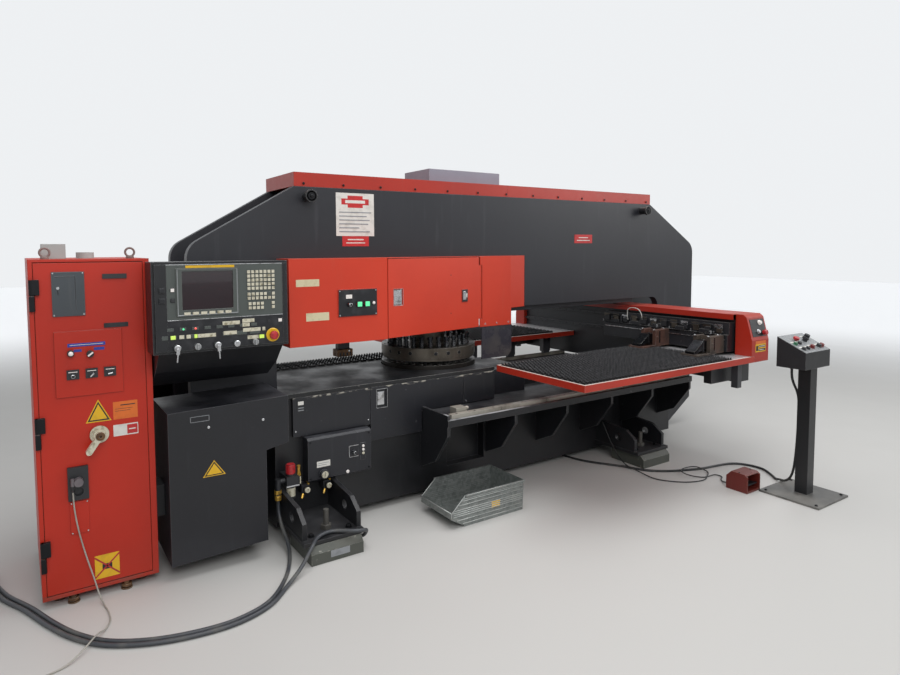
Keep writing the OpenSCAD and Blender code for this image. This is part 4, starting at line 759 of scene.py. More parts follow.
cap_screws("front_cover_screws", [(-1.352, cover_front, 0.592), (-0.884, cover_front, 0.592),
                                  (-0.142, cover_front, 0.612)], to_front, 0.0045, bright_steel)

# Air panel
# A folded black box with the pressure gauge under its label, a key switch on a plate and a strip of lamps.
panel_front, gauge = -0.172, (-1.208, -0.186, 0.335)
dress(enamel("panel_black", "17181e", "202127", "8a8a8d", dust="5a5b60", roughness=0.4, chips=0.8,
             round_edge=0.003), "air_panel")
bm = bmesh.new()
turned_in(bm, [(0, 0.0275), (0.006, 0.0275), (0.008, 0.025), (0.008, 0.0215)], gauge, to_front, 28, plastic)
turned_in(bm, [(0.007, 0.0205), (0.0088, 0.0200)], gauge, to_front, 28, cream)
box_in(bm, -1.2092, -1.2068, -0.1955, -0.1945, 0.325, 0.350, 0, plastic)
button_in(bm, "key", -1.013, 0.428, -0.1880, 0.014, steel)
for x1, z0, z1 in ((-0.984, 0.467, 0.4695), (-0.984, 0.4005, 0.403), (-1.0435, 0.4005, 0.4695)):
    box_in(bm, -1.046, x1, -0.1768, -0.176, z0, z1, 0, steel)
for z, slot in ((0.456, white), (0.434, white), (0.412, cream)):
    turned_in(bm, [(0, 0.0085), (0.003, 0.0085), (0.006, 0.006), (0.007, 0)], (-0.9515, -0.175, z),
              to_front, 14, slot)
turned_in(bm, [(0, 0.010), (0.004, 0.010), (0.006, 0.007), (0.006, 0)],
          (-1.055, panel_front, 0.318), to_front, 14, white)
new_piece("air_panel_controls", bm, controls, "frame")
plate_label("gauge_label", "frame", -1.250, -1.166, 0.376, 0.412, panel_front, white_film, [
    (grey_film, 0.1, 0.9, 0.60, 0.68), (grey_film, 0.1, 0.7, 0.30, 0.38)], 0.0006)
cap_screws("air_panel_screws", [(x, panel_front, z) for x in (-1.288, -0.912) for z in (0.530, 0.318)],
           to_front, 0.005, black_screw)

# Air unit
# A die-cast regulator with a red turning cap and a pale bowl below, brass fittings, a swivel for the hose,
# and two small valves with pale hand wheels under the panel.
unit_x, unit_y = -1.41, -0.175
dress(dark_plastic, "air_unit")
cap_red = spotted("cap_red", "b5222a", "7c1a1e", (50, 0.45, 0.75), (90, 0.25, 0.25), 0, 0.3)
bm = bmesh.new()
turned_in(bm, [(0, 0.0245), (0.002, 0.0250), (0.050, 0.0250), (0.0535, 0.0225), (0.0545, 0)],
          (unit_x, unit_y, 0.379), to_top, 24, 0)
for k in range(18):
    turn = Matrix.Translation((unit_x, unit_y, 0)) @ Matrix.Rotation(math.radians(20 * k), 4, "Z")
    box_in(bm, 0.0245, 0.0262, -0.0018, 0.0018, 0.384, 0.428, 0, 0, turn)
port = unit_x + 0.048
turned_in(bm, [(0, 0.0120), (0.010, 0.0120), (0.012, 0.0095), (0.020, 0.0095)],
          (port, unit_y, 0.356), to_top, 6, 1)
turned_in(bm, [(0, 0.0080), (0.030, 0.0080), (0.031, 0.0105), (0.040, 0.0105)],
          (port, unit_y, 0.376), to_top, 10, 1)
box_in(bm, -1.3705, -1.3640, -0.214, -0.210, 0.322, 0.362, 0.0005, 3)
turned_in(bm, [(0, 0.0245), (0.048, 0.0248), (0.050, 0.0235)], (unit_x, unit_y, 0.250), to_top, 24, 3)
box_in(bm, -1.4480, -1.3720, -0.2130, -0.2100, 0.312, 0.320, 0.001, 2)
turned_in(bm, [(0, 0.0140), (0.002, 0.0190), (0.026, 0.0190), (0.028, 0.0175), (0.036, 0.0175),
               (0.038, 0.0205), (0.058, 0.0205)], (unit_x - 0.075, unit_y, 0.2395), to_top, 8, 1)
for x in (-1.313, -1.179):
    turned_in(bm, [(0, 0.0155), (0.003, 0.0165), (0.008, 0.0165), (0.011, 0.0140), (0.011, 0.0080),
                   (0.004, 0.0070)], (x, -0.1762, 0.262), to_front, 20, 3)
    turned_in(bm, [(0, 0.0085), (0.014, 0.0080), (0.026, 0.0060), (0.027, 0.0)], (x - 0.018, -0.158, 0.236),
              (-0.5, -0.4, -0.8), 10, 1)
    turned_in(bm, [(0, 0.0070), (0.018, 0.0070), (0.018, 0)], (x + 0.016, -0.152, 0.286), to_top, 10, 1)
new_piece("air_unit_fittings", bm, [cap_red, brass, bright_steel, cream_plastic], "frame")

# Shelf rails
# Ground steel bars in six lengths, screwed down on each shelf. A stop block with its buffer stands behind
# the first one.
dress(worked_steel("rail_steel", "a39f95", "6b665c", shine=0.2), "shelf_rails")
bm = bmesh.new()
for y in (middle_y - 0.701, middle_y + 0.701):
    for k in range(6):
        for x in (0.050, 0.190, 0.340):
            turned_in(bm, [(0, 0.0075), (flush, 0.0070), (flush, 0.004), (-0.003, 0.004)],
                      (-0.450 + 0.395 * k + x, y, 0.614), to_top, 12)
new_piece("rail_screws", bm, black_screw, "frame")

# Scrap bin
# A pressed zinc-plated stacking bin under the slug chute, with bright rolled rims, beads in its walls and a
# yellow card label. The rims and beads take a lighter zinc than the walls: a painted highlight on their round
# faces.
bin_front, bin_rear, bin_mouth = -0.596, -0.266, -0.5965
zinc, zinc_shader, zinc_place = surface("zinc_sheet", "7c8180", 0.42, 0.6)
flake = zinc_place.add("ShaderNodeTexVoronoi", {"Vector": zinc_place, "Scale": 60.0}, out=1)
bright = zinc_place.add("ShaderNodeSeparateColor", {0: flake})
feed(zinc_shader, Base_Color=blend_colours(ink("6c7170"), ink("9da19e"),
                                           bright * 0.5 + noise(zinc_place, 8, 5) * 0.4),
     Roughness=bright * 0.15 + 0.34, Normal=bump(noise(zinc_place, 50, 3), 0.1, 0.0005))
dress(zinc, "scrap_bin")
# Painted highlight: this lighter zinc on the beads and rims stands for the light on their rounded faces.
bead_highlight_zinc, bead_highlight_shader, bead_highlight_place = surface("bead_highlight_zinc", "a9adaa", 0.4, 0.4)
feed(bead_highlight_shader, Base_Color=blend_colours(ink("85898a"), ink("c4c7c2"), noise(bead_highlight_place, 14, 5)),
     Roughness=noise(bead_highlight_place, 60) * 0.2 + 0.32)
bm = bmesh.new()
for z in (0.020, 0.0455, 0.071, 0.083, 0.095, 0.107, 0.1335, 0.156, 0.167):
    lip, end = -0.483 - min(z * 1.7, 0.102, (0.190 - z) * 1.11), -0.058
    for y in (bin_front, bin_rear):
        tube_in(bm, [Vector((x, y, z)) for x in (lip, (lip + end) / 2, end)], 0.0032, 8)
rim_y = (bin_front + 0.0015, -0.431, bin_rear - 0.0015)
for y in rim_y[::2]:
    tube_in(bm, [Vector((x, y, z)) for x, z in ((bin_mouth, 0.062), (bin_mouth, 0.095), (-0.493, 0.188))],
            0.003, 8)
tube_in(bm, [Vector((bin_mouth, y, 0.0965)) for y in rim_y], 0.003, 8)
tube_in(bm, [Vector((x, -0.605, 0.1885)) for x in (-0.494, -0.270, -0.048)], 0.0025, 8)
new_piece("bin_beads", bm, bead_highlight_zinc, "frame")
yellow_film = film("yellow_film", "e2b21f", "b18a20")
plate_label("bin_label", "frame", -0.300, -0.235, 0.066, 0.104, bin_front, yellow_film, [
    (grey_film, 0.1, 0.9, 0.4, 0.5)])

# Left cover
# A large folded cover over the drives between the cabinet and the base, blue-black like the frame, with a
# yellow warning triangle.
left_face = -0.315
dress(enamel("cover_enamel", "111217", "191a20", "76767a", dust="4c4d53", roughness=0.42), "left_cover")


def triangle_label(name, body, x0, x1, z0, z1, y):
    """A three-cornered plate: a yellow edge, a dark border and a yellow middle."""
    bm = bmesh.new()
    middle = Vector(((x0 + x1) / 2, 0, z0 + (z1 - z0) / 3))
    for k, size in enumerate((1.0, 0.86, 0.68)):
        corners = [middle + (Vector(c) - middle) * size for c in ((x0, 0, z0), (x1, 0, z0),
                                                                  ((x0 + x1) / 2, 0, z1))]
        low = [bm.verts.new((c.x, y, c.z)) for c in corners]
        high = [bm.verts.new((c.x, y - 0.0008 - 0.0002 * k, c.z)) for c in corners]
        for face in [high] + [(low[i], low[(i + 1) % 3], high[(i + 1) % 3], high[i]) for i in range(3)]:
            bm.faces.new(face).material_index = k % 2
    new_piece(name, bm, [yellow_film, black_film], body)


triangle_label("cover_triangle", "frame", -1.919, -1.806, 0.499, 0.580, left_face)
cap_screws("left_cover_screws", [(-1.885, left_face, 0.752), (-1.607, left_face, 0.749)], to_front, 0.007,
           bright_steel)
bm = bmesh.new()
outline_in(bm, -1.972, -1.880, -0.3156, left_face, 0.7855, 0.8145, 0.0025, 0.0025, 0)
new_piece("glue_outline", bm, grey_film, "frame")

# Operator panel
# A cast box with a grey-green upper face: a dark tube screen in its bevelled bezel and blocks of pale keys.
# Below are lamps, lit keys and turn switches on black, and the red stop button on a yellow collar.
panel_left, panel_right, panel_face = -2.1355, -1.5135, -0.4365
case_black = enamel("case_black", "101115", "18191d", "8e8e90", dust="3f4044", roughness=0.38,
                    round_edge=0.003)
dress(case_black, "nc_box")
dress(enamel("panel_grey", "4c524f", "424745", "9b9c98", roughness=0.4, round_edge=0.0015), "nc_panel")
bm = bmesh.new()
for x0, x1 in ((-2.1370, -2.0850), (-1.5320, -1.5120)):
    box_in(bm, x0, x1, -0.4392, -0.4368, 1.1665, 1.5725, 0.001)
for x in (-2.048, -1.864):
    turned_in(bm, [(0, 0.0085), (0.003, 0.0085), (0.003, 0)], (x, -0.4592, 1.183), to_front, 16)
new_piece("case_edges", bm, case_black, "frame")
bm = bmesh.new()
for x, lean in ((-2.048, 0.10), (-1.864, -0.06)):
    hang = Matrix.Translation((x, -0.462, 1.181)) @ Matrix.Rotation(lean, 4, "Y")
    box_in(bm, -0.0045, 0.0045, -0.010, 0, -0.004, 0.004, 0, 0, hang)
    box_in(bm, -0.0080, 0.0080, -0.014, -0.010, -0.026, 0.002, 0.001, 0, hang)
    box_in(bm, -0.0030, 0.0030, -0.013, -0.011, -0.062, -0.024, 0.0005, 0, hang)
for x in (-2.048, -1.864, -1.772):
    turned_in(bm, [(0, 0.0155), (0.004, 0.0155), (0.0065, 0.0125)], (x, -0.4595, 1.183), to_front)
new_piece("hanging_keys", bm, bright_steel, "frame")
dress(worked_steel("knob_silver", "b9bbbc", "77787a", 0.25, 4.0), "nc_mode_knob", "nc_feed_knob")
dress(cap_red, "nc_stop", "beam_stop", "desk_button")
screen_glass, screen_shader, screen_place = surface("screen_glass", "1d151b", 0.12, 0, 0.6)
lines = limits(noise(screen_place, 18, 2, (1, 1, 9)), 0.62, 0.66) * 0.12
feed(screen_shader, Base_Color=blend_colours(ink("1c141a"), ink("5a2430"),
                                             lines + noise(screen_place, 4, 2) * 0.15))
bezel_grey = film("bezel_grey", "8b8e90", "6a6c6d", 0.35)


def corners_in(bm, x0, x1, z0, z1, y):
    """The four corners of an upright oblong that looks to the front."""
    return [bm.verts.new((x, y, z)) for x, z in ((x0, z0), (x1, z0), (x1, z1), (x0, z1))]


bm = bmesh.new()
rim = corners_in(bm, -2.040, -1.760, 1.332, 1.550, -0.4462)
well, back = (corners_in(bm, -2.018, -1.782, 1.358, 1.540, -0.4395) for _ in range(2))
for k in range(4):
    bm.faces.new((rim[k], rim[(k + 1) % 4], well[(k + 1) % 4], well[k]))
bm.faces.new(back).material_index = 1
for k in range(6):
    box_in(bm, -2.012 + 0.038 * k, -1.984 + 0.038 * k, -0.4485, -0.4465, 1.3345, 1.3475, 0.0006, 2)
new_piece("screen_frame", bm, [bezel_grey, screen_glass, cream_plastic], "frame")
key_pitch, key_gap, key_size = 0.0205, 0.0006, 0.0148
bm = bmesh.new()
for x0, columns, z0, rows, missing in ((-1.712, 7, 1.538, 5, None), (-1.712, 7, 1.428, 2, (5, 0)),
                                       (-1.708, 4, 1.380, 2, None)):
    for i in range(columns):
        for j in range(rows):
            x, z = x0 + key_pitch * i + key_gap, z0 - key_pitch * j - key_gap
            if (i, j) != missing:
                box_in(bm, x, x + key_size, -0.4435, -0.4400, z - key_size, z, 0.0012)
for z in (1.380, 1.3595):
    box_in(bm, -1.589, -1.589 + key_size, -0.4415, -0.4360, z - key_size, z, 0.0012)
new_piece("panel_keys", bm, cream_plastic, "frame")
bm = bmesh.new()
box_in(bm, panel_left, panel_right, -0.4378, panel_face, 1.1670, 1.3100, 0.0006, black)
for z in (1.3100, 1.5690):
    box_in(bm, panel_left, panel_right, -0.4384, panel_face, z, z + 0.003, 0.0005, steel)
for z in (1.453, 1.405):
    button_in(bm, "square", -2.107, z, -0.4430, 0.0135, black)
button_in(bm, "square", -2.060, 1.453, -0.4378, 0.010, white)
button_in(bm, "square", -2.060, 1.405, -0.4378, 0.010, plastic)
for x, slot in ((-2.017, green), (-1.962, red)):
    turned_in(bm, [(0, 0.005), (0.004, 0.005), (0.006, 0.003), (0.006, 0)], (x, -0.4410, 1.269),
              to_front, 10, slot)
for x0, x1, z, slot in (
        (-2.074, -2.052, 1.232, lime), (-2.036, -2.014, 1.232, cream), (-2.004, -1.984, 1.232, cream),
        (-1.968, -1.954, 1.232, lime), (-1.952, -1.868, 1.232, cream), (-1.836, -1.752, 1.284, cream),
        (-1.740, -1.680, 1.290, cream), (-1.740, -1.704, 1.270, cream), (-1.832, -1.768, 1.236, cream),
        (-1.738, -1.650, 1.244, cream), (-1.640, -1.626, 1.244, cream), (-1.716, -1.660, 1.206, cream),
        (-1.656, -1.632, 1.206, lime)):
    box_in(bm, x0, x1, -0.4418, -0.4375, z - 0.009, z + 0.009, 0.0012, slot)
box_in(bm, -1.612, -1.600, -0.4400, -0.4375, 1.276, 1.288, 0.0008, plastic)
box_in(bm, -1.556, -1.538, -0.4400, -0.4375, 1.274, 1.290, 0.0008, white)
new_piece("panel_controls", bm, controls, "frame")
plate_label("panel_strip", "frame", -1.999, -1.772, 1.5545, 1.5665, -0.437, yellow_film, thick=0.0008)
stop_x, stop_z = -1.587, 1.210
bm = bmesh.new()
turned_in(bm, [(0, 0.034), (0.002, 0.0345), (0.005, 0.031), (0.005, 0.011)],
          (stop_x, -0.4378, stop_z), to_front, 32)
new_piece("stop_collar", bm, yellow_film, "frame")
bm = bmesh.new()
turned_in(bm, [(0, 0.0215), (0.004, 0.0222), (0.011, 0.0215), (0.0150, 0.0180), (0.0165, 0.009), (0.0168, 0)],
          (stop_x, -0.4535, stop_z), to_front, 28)
new_piece("stop_cap", bm, cap_red, "nc_stop")


# Control cabinet
# A sheet steel cabinet in orange-red with one full-length door on three black hinges, two lifting eyes on top
# and four screwed feet. The door's raised panel carries a lamp and four switches.
def scuffed_foot(place, facing, colours):
    """The bottom flange is scuffed brown, and the duct beside the cabinet is black."""
    flange = (axis_of(place, 2) < 0.064) * limits(noise(place, 12, 5), 0.35, 0.65) * 0.7
    return blend_colours(blend_colours(colours, ink("7a4438"), flange), ink("121317"),
                         axis_of(place, 0) > -2.124)


def conduit_grey(place, facing, colours):
    """The lifting eyes are brown; the cable boxes behind them are light grey and the foot screws rusty."""
    z = axis_of(place, 2)
    rusty = blend_colours(colours, ink("5a3a2a"), z < 0.3)
    return blend_colours(rusty, ink("a9b0ae"), (z > 1.55) * (axis_of(place, 1) > -0.12))


door_face, hatch_face, raised_face = -0.245, -0.2512, -0.253
cabinet_red = enamel("cabinet_red", "bb2306", "a81f06", "8c3a26", dust="94402c", roughness=0.42,
                     chips=0.3, skin=0.1, special=scuffed_foot)
dress(cabinet_red, "cabinet", "cabinet_door")
dress(enamel("eye_brown", "8a7672", "5a4a46", "b0a8a4", roughness=0.45, special=conduit_grey),
      "cabinet_hardware")
dress(dark_plastic, "door_fittings", "lead_connector")
orange_film = film("orange_film", "dd6f28", "b45a22")
blue_film = film("blue_film", "2a3f9b", "24356f")
dress(film("plug_grey", "6b6468", "544f52", 0.45), "socket_plug")
dress(cream_plastic, "main_switch")
bm = bmesh.new()
box_in(bm, -2.5322, -2.4018, hatch_face, -0.2500, 1.3418, 1.5432, 0.0006, 0)
box_in(bm, -2.4400, -2.4375, -0.2516, -0.2505, 1.368, 1.522, 0, 1)
box_in(bm, -2.5200, -2.4375, -0.2516, -0.2505, 1.520, 1.5225, 0, 1)
turned_in(bm, [(0, 0.006), (0.003, 0.006), (0.003, 0)], (-2.508, hatch_face, 1.470), to_front, 12, 2)
box_in(bm, -2.510, -2.506, -0.2530, -0.2510, 1.440, 1.462, 0.0008, 1)
pan_heads_in(bm, (-2.526, -2.408), (1.348, 1.537), hatch_face, 0.004, 0.0015, 2)
new_piece("door_hatch", bm, [enamel("hatch_grey", "42484d", "3a3f44", "8c9094", roughness=0.38), black_film,
                             bright_steel], "cabinet_door")
plate_label("door_strip", "cabinet_door", -2.328, -2.225, 1.279, 1.300, door_face, black_film, thick=0.004)
plate_label("blue_strip", "cabinet_door", -2.480, -2.326, 1.200, 1.216, raised_face, blue_film, [
    (white_film, 0.06, 0.94, 0.42, 0.58)], 0.0006)
plate_label("blue_mark_left", "cabinet_door", -2.456, -2.424, 1.176, 1.188, raised_face,
            blue_film, thick=0.0006)
plate_label("blue_mark_right", "cabinet_door", -2.374, -2.330, 1.178, 1.192, raised_face,
            blue_film, thick=0.0006)
bm = bmesh.new()
button_in(bm, "lamp", -2.469, 1.173, -0.2710, 0.0145, white)
# Painted glow: this switch handle and the small white plates under the lower switches take the glowing white
# lens material, though they are no lamps.
button_in(bm, "switch", -2.391, 1.165, -0.2710, 0.0155, white, 0.9)
for x, kind, tilt in ((-2.463, "key", 0), (-2.387, "switch", 0.8), (-2.311, "switch", 1.4)):
    button_in(bm, kind, x, 1.066, -0.2610, 0.013, steel, tilt)
    box_in(bm, x - 0.018, x + 0.018, -0.2615, -0.2608, 1.084, 1.087, 0, white)
new_piece("door_controls", bm, controls, "cabinet_door")
triangle_label("door_triangle", "cabinet_door", -2.419, -2.311, 0.838, 0.944, door_face)
plate_label("orange_plate", "cabinet_door", -2.303, -2.197, 0.838, 0.922, door_face, orange_film, [
    (black_film, 0.30, 0.90, 0.76, 0.82), (black_film, 0.08, 0.80, 0.58, 0.60),
    (black_film, 0.08, 0.70, 0.46, 0.48)], 0.0006)
plate_label("white_plate", "cabinet_door", -2.305, -2.197, 0.757, 0.812, door_face, white_film, [
    (red_film, 0.55, 0.97, 0.10, 0.90), (white_film, 0.62, 0.90, 0.45, 0.55)], 0.0006)
plate_label("yellow_plate", "cabinet_door", -2.405, -2.300, 0.085, 0.198, door_face, yellow_film, [
    (black_film, 0.30, 0.70, 0.36, 0.60)], 0.0006)
bm = bmesh.new()
for lean in (0.82, -0.82):
    bar = Matrix.Translation((-2.3525, -0.2462, 0.1415)) @ Matrix.Rotation(lean, 4, "Y")
    box_in(bm, -0.0035, 0.0035, 0, 0.0004, -0.072, 0.072, 0, 0, bar)
new_piece("plate_bars", bm, cap_red, "cabinet_door")
bm = bmesh.new()
for x in (-2.495, -2.270):
    turned_in(bm, [(0, 0.026), (0.005, 0.026), (0.006, 0.013), (0.012, 0.012), (0.012, 0.023), (0.024, 0.023),
                   (0.025, 0.012), (0.0398, 0.012)], (x, -0.226, 0), to_top, 16)
new_piece("front_foot_screws", bm, iron_brown, "frame")
bm = bmesh.new()
box_in(bm, -2.4968, -2.4192, -0.2500, door_face, 0.3272, 0.4808, 0.0008, 0)
pan_heads_in(bm, (-2.490, -2.426), (0.334, 0.474), -0.250, 0.004, 0.002, 1)
new_piece("filler_plate", bm, [cabinet_red, bright_steel], "cabinet_door")
bm = bmesh.new()
turned_in(bm, [(0, 0.020), (0.002, 0.0195), (0.004, 0.013), (0.004, 0.006), (-0.002, 0.005)],
          (-2.365, -0.299, 0.781), to_front, 24, 0)
turned_in(bm, [(0, 0.0410), (0.0040, 0.0405), (0.0040, 0.028)], (-2.365, -0.2548, 0.781), to_front, 32, 1)
new_piece("switch_centre", bm, [iron_brown, cream_plastic], "main_switch")
for name, body, leaf, knuckle, long in (
        ("hinge_lower_leaves", "frame", (-2.6195, -2.5985, -0.2665, -0.2440, -0.070, -0.0025),
         -0.0695, 0.067),
        ("hinge_upper_leaves", "cabinet_door", (-2.6080, -2.5790, -0.2660, -0.2455, 0.0015, 0.0705),
         0.0015, 0.0685)):
    bm = bmesh.new()
    for z in (0.250, 0.820, 1.440):
        box_in(bm, *leaf[:4], z + leaf[4], z + leaf[5], 0.002)
        turned_in(bm, [(0, 0.0115), (long, 0.0115)], (-2.608, -0.2545, z + knuckle), to_top, 16)
    new_piece(name, bm, black_screw, body)


# Side tables
# Welded red frames carry black brush mats and, beside the beam, a bright steel strip. The rim's upper edge is
# rubbed white by sheets.
def bare_rim(place, facing, colours):
    z = axis_of(place, 2)
    colours = blend_colours(colours, ink("3c3d41"), z < 0.792)
    return blend_colours(colours, ink("d8d2ca"),
                         (facing > 0.8) * (z > 0.8365) * (noise(place, 25, 4) * 0.5 + 0.6))


dress(enamel("table_red", "ba3320", "a52a19", "d0a596", dust="a06a58", roughness=0.4, chips=0.6,
             special=bare_rim), "side_tables")
dress(cover_red, "beam_covers")
strip_top = 0.8388
bm = bmesh.new()
for y0, y1 in ((-0.9655, -0.1815), (0.8415, 1.6255)):
    box_in(bm, 0.0995, 1.6025, y0, y1, 0.832, 0.8362, 0.0006)
    tufts_in(bm, 0.0945, 1.6065, y0 - 0.005, y1 + 0.005, 0.836, 0.8600, 0.0285, 0.0070)
brush_field = new_piece("brush_field", bm, brush_black, "tables")
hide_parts("brush_mats")
bm = bmesh.new()
for y0, y1 in ((-0.966, -0.181), (0.841, 1.626)):
    box_in(bm, 1.6045, 1.8480, y0, y1, 0.8375, strip_top, 0.0004)
for x in (1.62, 1.83):
    for y in (-0.93, -0.57, -0.21, 0.87, 1.23, 1.59):
        turned_in(bm, [(0, 0.006), (0.0004, 0.0055), (0.0004, 0.003)], (x, y, strip_top), to_top, 10)
new_piece("steel_strips", bm, spotted("strip_steel", "d2d2d4", "9b9a9a", (10, 0.45, 0.75),
                                      (20, 0.3, 0.25), 0.6, grain=((1, 6, 1), (1, 9, 1))), "tables")

# Beam and covers
# A box beam in black between two red end caps. The near cap has a black button plate with a warning plate
# under it; the screws of the guide rails show under the red lid.
dress(enamel("beam_black", "1a1b1f", "232428", "6f6f70", dust="4b4b4d", roughness=0.4, chips=0.9),
      "carriage_beam")
cap_tilt = Matrix.Translation((1.925, -0.980, 0.955)) @ Matrix.Rotation(-math.atan2(0.046, 0.167), 4, "X")
bm = bmesh.new()
box_in(bm, -0.087, 0.095, -0.0020, 0.0030, 0.026, 0.155, 0.001, black, cap_tilt)
for x, z, size, slot in ((0.030, 0.128, 0.019, white), (-0.012, 0.062, 0.017, steel)):
    turned_in(bm, [(0, size), (0.006, size), (0.007, size * 0.8), (0.016, size * 0.72), (0.018, size * 0.6),
                   (0.018, 0)], cap_tilt @ Vector((x, -0.0020, z)),
              cap_tilt.to_3x3() @ Vector(to_front), 20, slot)
new_piece("cap_controls", bm, controls, "tables")
stop_axis = Vector((0, -0.9703, 0.2419))
bm = bmesh.new()
turned_in(bm, [(0, 0.0195), (0.004, 0.0205), (0.012, 0.0190), (0.014, 0.0120), (0.012, 0.0110)],
          Vector((1.975, -0.968, 1.005)) + stop_axis * 0.0205, stop_axis, 24)
new_piece("stop_ring", bm, cap_red, "beam_stop")
plate_label("cap_plate", "tables", 1.862, 1.996, 0.866, 0.948, -0.980, yellow_film, [
    (orange_film, 0, 1, 0.72, 1), (black_film, 0.30, 0.95, 0.42, 0.60),
    (white_film, 0.34, 0.90, 0.48, 0.54), (black_film, 0.30, 0.95, 0.10, 0.30),
    (white_film, 0.34, 0.80, 0.17, 0.22), (black_film, 0.06, 0.24, 0.12, 0.58)], 0.0008)
bm = bmesh.new()
for k in range(26):
    for z in (0.9125, 1.0425):
        turned_in(bm, [(0, 0.0065), (flush, 0.0062), (flush, 0.0035), (-0.003, 0.003)],
                  (1.835, -0.80 + 0.09 * k, z), (-1, 0, 0), 12)
new_piece("guide_screws", bm, black_screw, "tables")

# Carriage, workholders and jaws
# The cross carriage runs on the beam's rails. Its plate carries valves, pipes and a scale, and two cast
# workholders with hinged jaws that grip the sheet's edge at work.
dress(enamel("carriage_black", "1c1d21", "26272b", "85837f", dust="55534f", roughness=0.42, chips=1.0),
      "carriage")
dress(worked_steel("clamp_iron", "6a4c42", "37302d", 0.5, 1.6, 0.35), "clamp_far")
dress(worked_steel("clamp_grey", "5a5048", "35302c", 0.5, 1.6, 0.35), "clamp_near")
bm = bmesh.new()
box_in(bm, 1.7288, 1.7312, -0.820, 0.330, 0.9500, 0.9560, 0, 1)
box_in(bm, 1.7290, 1.7312, -0.820, 0.330, 0.9780, 0.9880, 0, 2)
for k in range(12):
    y = -0.790 + 0.098 * k
    box_in(bm, 1.7360, 1.7535, y, y + 0.046, 0.9990, 1.0290 + 0.008 * (k % 3), 0.002, 0 if k % 2 else 3)
    turned_in(bm, [(0, 0.0045), (0.012, 0.0045), (0.013, 0.006), (0.019, 0.006)],
              (1.744, y + 0.070, 0.988), to_top, 8, 1)
    box_in(bm, 1.7525, 1.7546, y + 0.006, y + 0.070, 1.0300, 1.0600, 0.0008, 3 if k % 3 else 1)
for dy, bend in ((0.0, 0.020), (0.007, 0.028), (0.014, 0.016)):
    tube_in(bm, spline([(1.742, -0.80 + dy, 1.000), (1.738, -0.70, 1.050 + bend * 0.3),
                        (1.742, -0.45 + dy, 1.040), (1.736, -0.20, 1.058), (1.742, 0.05 + dy, 1.036),
                        (1.740, 0.28, 1.052), (1.746, 0.325 + dy, 1.010)], 6), 0.0032, 6)
new_piece("carriage_fittings", bm, [dark_plastic, bright_steel, tool_steel, turret_steel], "carriage")
for name, y0 in (("near", -0.810), ("far", -0.335)):
    bm = bmesh.new()
    for x, y in ((1.560, 0.015), (1.560, 0.125), (1.700, 0.030), (1.700, 0.110)):
        turned_in(bm, [(0, 0.009), (0.006, 0.009), (0.007, 0.0075), (0.007, 0.0045), (0.003, 0.0045)],
                  (x, y0 + y, 0.985), to_top, 12)
    box_in(bm, 1.628, 1.690, y0 + 0.045, y0 + 0.095, 0.985, 0.999, 0.003, 1)
    turned_in(bm, [(0, 0.006), (0.010, 0.006), (0.012, 0.0085), (0.020, 0.0085)],
              (1.660, y0 + 0.060, 0.999), to_top, 8)
    for x in (1.476, 1.608):
        box_in(bm, x, x + 0.014, y0 - 0.0012, y0 + 0.001, 0.880, 0.975, 0.0008, 1)
    new_piece("clamp_fittings_" + name, bm, [bright_steel, tool_steel], "clamp_" + name)
bm = bmesh.new()
tube_in(bm, spline([(1.745, -0.060, 1.020), (1.735, -0.058, 1.080), (1.728, -0.030, 1.120),
                    (1.728, 0.030, 1.128), (1.728, 0.075, 1.112), (1.735, 0.088, 1.060),
                    (1.745, 0.088, 1.020)], 8), 0.0035, 8)
new_piece("air_hoop", bm, white_film, "carriage")


# Pedestal and desk
# A tilted box on a square post with a thin base plate. Its grey top plate carries push buttons of three sizes
# with their small white plates, a turn knob and a large red button.
def floor_reflection_plate(place, facing, colours):
    """The base plate under the post is bare steel; its mottled light grey is a painted reflection of the
    floor.
    """
    # Painted reflection: mottled light grey on the plate stands for the floor mirrored in its steel.
    reflected_floor = blend_colours(ink("4c4b48"), ink("85837e"), limits(noise(place, 5, 5), 0.35, 0.7))
    return blend_colours(colours, reflected_floor, (axis_of(place, 2) < 0.0125) * 0.8)


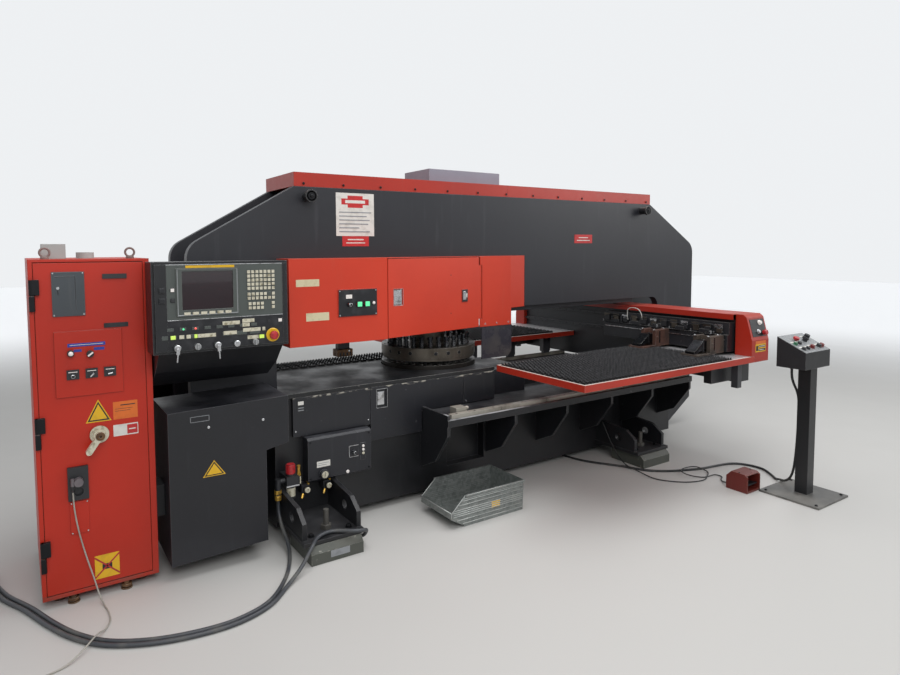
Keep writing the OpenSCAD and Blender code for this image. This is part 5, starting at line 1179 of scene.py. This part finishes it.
dress(enamel("post_black", "0c0d10", "131417", "5d5d60", dust="47474a", roughness=0.38,
             special=floor_reflection_plate), "pedestal")
dress(enamel("desk_black", "17181b", "1e1f22", "7a7a7c", dust="47474a", roughness=0.45), "pedestal_desk")
dress(dark_plastic, "desk_knob", "foot_pedal")
desk_rise, desk_deep = 0.088, 0.186
slope = math.atan2(desk_rise, desk_deep)
span, plate_top = desk_deep / math.cos(slope), 0.0018
bm = bmesh.new()
box_in(bm, 0.001, 0.306, 0.001, span - 0.001, 0.0, plate_top, 0.0006, 0)
for x, y in ((0.022, 0.056), (0.072, 0.056), (0.022, 0.116), (0.072, 0.116), (0.134, 0.062), (0.219, 0.062),
             (0.256, 0.062), (0.215, 0.162)):
    box_in(bm, x, x + 0.034, y, y + 0.012, plate_top, 0.0026, 0.0002, 2)
for x, y, size, high, slot in ((0.040, 0.040, 0.0125, 0.016, 1), (0.090, 0.040, 0.0125, 0.016, 1),
                               (0.040, 0.100, 0.0125, 0.016, 4), (0.090, 0.100, 0.0125, 0.016, 1),
                               (0.150, 0.045, 0.0145, 0.020, 3), (0.235, 0.045, 0.0145, 0.020, 1),
                               (0.270, 0.045, 0.0145, 0.020, 3), (0.240, 0.140, 0.0175, 0.034, 1)):
    turned_in(bm, [(plate_top, size * 1.25), (0.005, size * 1.2), (0.006, size), (high - 0.001, size),
                   (high + 0.0006, size * 0.85), (high + 0.0006, 0)], (x, y, 0), to_top, 16, slot)
bm.transform(Matrix.Translation((1.5025, -1.5145, 0.966)) @ Matrix.Rotation(slope, 4, "X"))
cap_dark_red = film("cap_dark_red", "6e1d1a", "4a1412")
cap_green = film("cap_green", "2f6a4b", "234c38")
new_piece("desk_fittings", bm, [bezel_grey, dark_plastic, white_film, cap_dark_red, cap_green], "frame")
cap_screws("plate_bolts", [(x, y, 0.012) for x in (1.495, 1.817) for y in (-1.610, -1.288)], to_top, 0.009,
           black_screw)

# Foot switch
# A red cast hood over a black pedal, with two screws and its cable gland.
dress(enamel("switch_red", "6a1a12", "5a150f", "8f5a48", dust="6a4a40", roughness=0.4, chips=0.7),
      "foot_switch")
bm = bmesh.new()
for x in (1.358, 1.487):
    turned_in(bm, [(0, 0.006), (0.002, 0.006), (0.003, 0.004)], (x, -1.180, 0.125), to_top, 10)
turned_in(bm, [(0, 0.010), (0.012, 0.0095), (0.018, 0.007), (0.024, 0.0048)],
          (1.400, -1.095, 0.020), (0, 1, 0), 12)
new_piece("foot_switch_fittings", bm, black_screw, "frame")

bpy.context.scene.view_settings.view_transform = "Standard"
